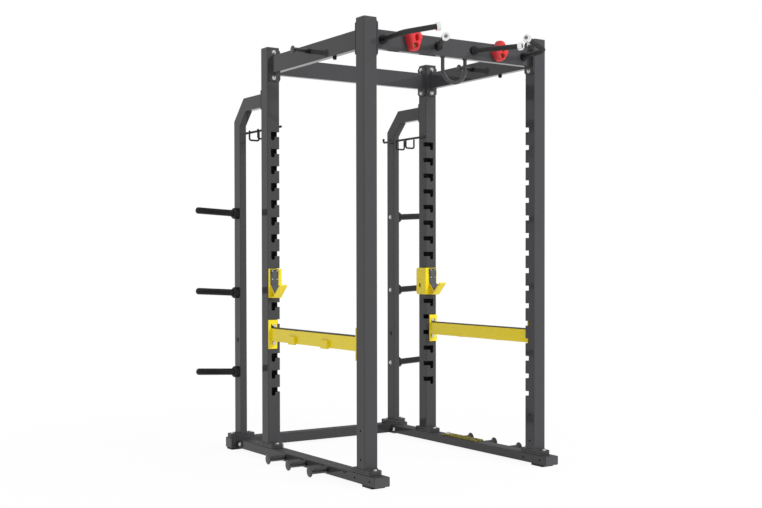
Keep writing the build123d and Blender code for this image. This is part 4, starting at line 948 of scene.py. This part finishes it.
class CAGE_OT_pegs(bpy.types.Operator):
    """Turn the flared band pegs, round the hook rails and bend the hooks"""

    bl_idname = "cage.pegs"
    bl_label = "Band pegs and hooks"

    def execute(self, context):
        on_rails = [((side * (HALF + RAIL_WIDE / 2), FRONT_Y + place, RAIL_MID), side * X)
                    for side in SIDES for place in RAIL_PEG_PLACES]
        _, peg_y, peg_z = middle("top_band_pegs")
        on_beams = [((side * HALF - BEAM_THICK / 2, peg_y, peg_z), -X) for side in SIDES]
        piece("flared_rail_pegs", stand_all(band_peg(*RAIL_PEG), on_rails), "gloss_black_paint",
              "rail_band_pegs")
        piece("flared_top_pegs", stand_all(band_peg(*TOP_PEG), on_beams), "gloss_black_paint",
              "top_band_pegs")
        eased("hook_rails", "satin_black_paint", HOOK_RAIL_EDGE)
        top = low("hook_rails")[2] + HOOK_RAIL / 2 + HOOK_TOP
        hooks = []
        for side in SIDES:
            path = u_path(HOOK_SPAN, HOOK_DROP + HOOK_TOP, HOOK_BEND) * (side, 1, 1)
            bent = bent_wire(path, HOOK_WIRE / 2)
            hooks += [bent + np.array([side * (HALF - HOOK_INWARD), REAR_Y + place, top])
                      for place in HOOK_PLACES]
        piece("bent_wire_hooks", hooks, "satin_black_paint", "wire_hooks", sharp=60)
        return {"FINISHED"}


class CAGE_OT_stage(bpy.types.Operator):
    """Set the floor, the studio light and the camera"""

    bl_idname = "cage.stage"
    bl_label = "Stage"

    def execute(self, context):
        scene = context.scene
        scene.view_settings.view_transform = "Standard"
        floor(scene.cage_colours.floor)
        surroundings(scene)
        lamp("key_softbox", **KEY_SOFTBOX)
        lamp("fill_softbox", **FILL_SOFTBOX)
        camera(scene)
        return {"FINISHED"}


def seen_directly(tree):
    """One for rays from the camera, from gloss or through glass, and nought for the rays that light
    the object."""
    path = add(tree, "ShaderNodeLightPath").outputs
    straight = add(
        tree, "ShaderNodeMath", (), {0: path["Is Camera Ray"], 1: path["Is Glossy Ray"]},
        operation="MAXIMUM")
    return add(
        tree, "ShaderNodeMath", (), {0: straight.outputs[0], 1: path["Is Transmission Ray"]},
        operation="MAXIMUM").outputs[0]


def floor(rgb):
    """A wide pale floor that keeps a faint shadow of the object and fades to white away from it."""
    material = bpy.data.materials.new("studio_floor")
    material.use_nodes = True
    tree = material.node_tree
    tree.nodes.clear()
    paint = add(tree, "ShaderNodeBsdfDiffuse", {"Color": tuple(rgb) + (1.0,)})
    white = add(tree, "ShaderNodeEmission", {"Color": (1, 1, 1, 1), "Strength": 1.0})
    place = add(tree, "ShaderNodeTexCoord").outputs["Object"]
    away = add(tree, "ShaderNodeVectorMath", (), {0: place}, operation="LENGTH")
    fade = add(tree, "ShaderNodeMapRange", FLOOR_FADE, {"Value": away.outputs["Value"]})
    share = add(
        tree, "ShaderNodeMath", (), {0: seen_directly(tree), 1: fade.outputs["Result"]},
        operation="MULTIPLY")
    mix = add(
        tree, "ShaderNodeMixShader", (),
        {0: share.outputs[0], 1: paint.outputs["BSDF"], 2: white.outputs["Emission"]})
    add(tree, "ShaderNodeOutputMaterial", (), {"Surface": mix.outputs["Shader"]})
    mesh = bpy.data.meshes.new("studio_floor")
    corners = FLOOR_REACH * np.array([(-1, -1, 0), (1, -1, 0), (1, 1, 0), (-1, 1, 0)])
    mesh.from_pydata(corners.tolist(), [], [(0, 1, 2, 3)])
    mesh.materials.append(material)
    item = bpy.data.objects.new("studio_floor", mesh)
    bpy.context.scene.collection.objects.link(item)


def surroundings(scene):
    """A white studio all round: plain light on the object, and white where it is seen or
    mirrored."""
    world = bpy.data.worlds.new("white_studio")
    world.use_nodes = True
    tree = world.node_tree
    tree.nodes.clear()
    light = add(tree, "ShaderNodeBackground", {"Color": (1, 1, 1, 1), "Strength": STUDIO_LIGHT})
    white = add(tree, "ShaderNodeBackground", {"Color": (1, 1, 1, 1), "Strength": 1.0})
    mix = add(
        tree, "ShaderNodeMixShader", (),
        {0: seen_directly(tree), 1: light.outputs["Background"], 2: white.outputs["Background"]})
    add(tree, "ShaderNodeOutputWorld", (), {"Surface": mix.outputs["Shader"]})
    scene.world = world


def lamp(name, place, target, size, power):
    """A square soft light that looks from a place to a target and is not mirrored in the gloss."""
    light = bpy.data.lights.new(name, "AREA")
    light.size = size
    light.energy = power
    item = bpy.data.objects.new(name, light)
    ahead = np.array(target, float) - np.array(place, float)
    item.matrix_world = view_matrix(place, ahead / np.linalg.norm(ahead), 0)
    item.visible_glossy = False
    bpy.context.scene.collection.objects.link(item)


def view_matrix(place, ahead, roll):
    """The matrix of a camera or lamp at a place that looks ahead, turned by a roll."""
    right = np.cross(ahead, Z)
    right = right / np.linalg.norm(right)
    up = np.cross(right, ahead)
    side = right * math.cos(roll) + up * math.sin(roll)
    columns = np.column_stack([side, np.cross(side, ahead), -ahead, place])
    return Matrix(np.vstack([columns, (0, 0, 0, 1)]).tolist())


def camera(scene):
    """A camera where the photograph was taken, found from points of the frame."""
    lens = bpy.data.cameras.new("camera")
    lens.sensor_width = CAMERA_SENSOR
    lens.lens = CAMERA_LENS
    lens.shift_x, lens.shift_y = CAMERA_SHIFT
    lens.clip_end = CAMERA_SEES
    yaw, pitch, roll = np.radians(CAMERA_ANGLES)
    level = math.cos(pitch)
    ahead = np.array([math.sin(yaw) * level, math.cos(yaw) * level, math.sin(pitch)])
    item = bpy.data.objects.new("camera", lens)
    item.matrix_world = view_matrix(CAMERA_PLACE, ahead, roll)
    scene.collection.objects.link(item)
    scene.camera = item


class CAGE_PT_sidebar(bpy.types.Panel):
    """The cage's sizes, colours and pieces"""

    bl_idname = "CAGE_PT_sidebar"
    bl_label = "Power cage"
    bl_space_type = "VIEW_3D"
    bl_region_type = "UI"
    bl_category = "Power cage"

    def draw(self, context):
        for group in (context.scene.cage_sizes, context.scene.cage_colours):
            for name in group.bl_rna.properties.keys():
                if name not in ("rna_type", "name"):
                    self.layout.prop(group, name)
        for operator in OPERATORS:
            self.layout.operator(operator.bl_idname)


OPERATORS = (
    CAGE_OT_finishes, CAGE_OT_welds, CAGE_OT_bolts, CAGE_OT_horns, CAGE_OT_caps, CAGE_OT_feet,
    CAGE_OT_grips, CAGE_OT_holds, CAGE_OT_supports, CAGE_OT_pegs, CAGE_OT_stage)
CLASSES = (CageSizes, CageColours) + OPERATORS + (CAGE_PT_sidebar,)


def register():
    """Register the classes and give the scene its sizes and colours."""
    for item in CLASSES:
        bpy.utils.register_class(item)
    bpy.types.Scene.cage_sizes = PointerProperty(type=CageSizes)
    bpy.types.Scene.cage_colours = PointerProperty(type=CageColours)


def unregister():
    """Take the scene's sizes and colours and the classes away again."""
    del bpy.types.Scene.cage_colours
    del bpy.types.Scene.cage_sizes
    for item in reversed(CLASSES):
        bpy.utils.unregister_class(item)


def main():
    """Dress the frame."""
    register()
    for operator in OPERATORS:
        group, name = operator.bl_idname.split(".")
        getattr(getattr(bpy.ops, group), name)()


if __name__ == "__main__":
    main()
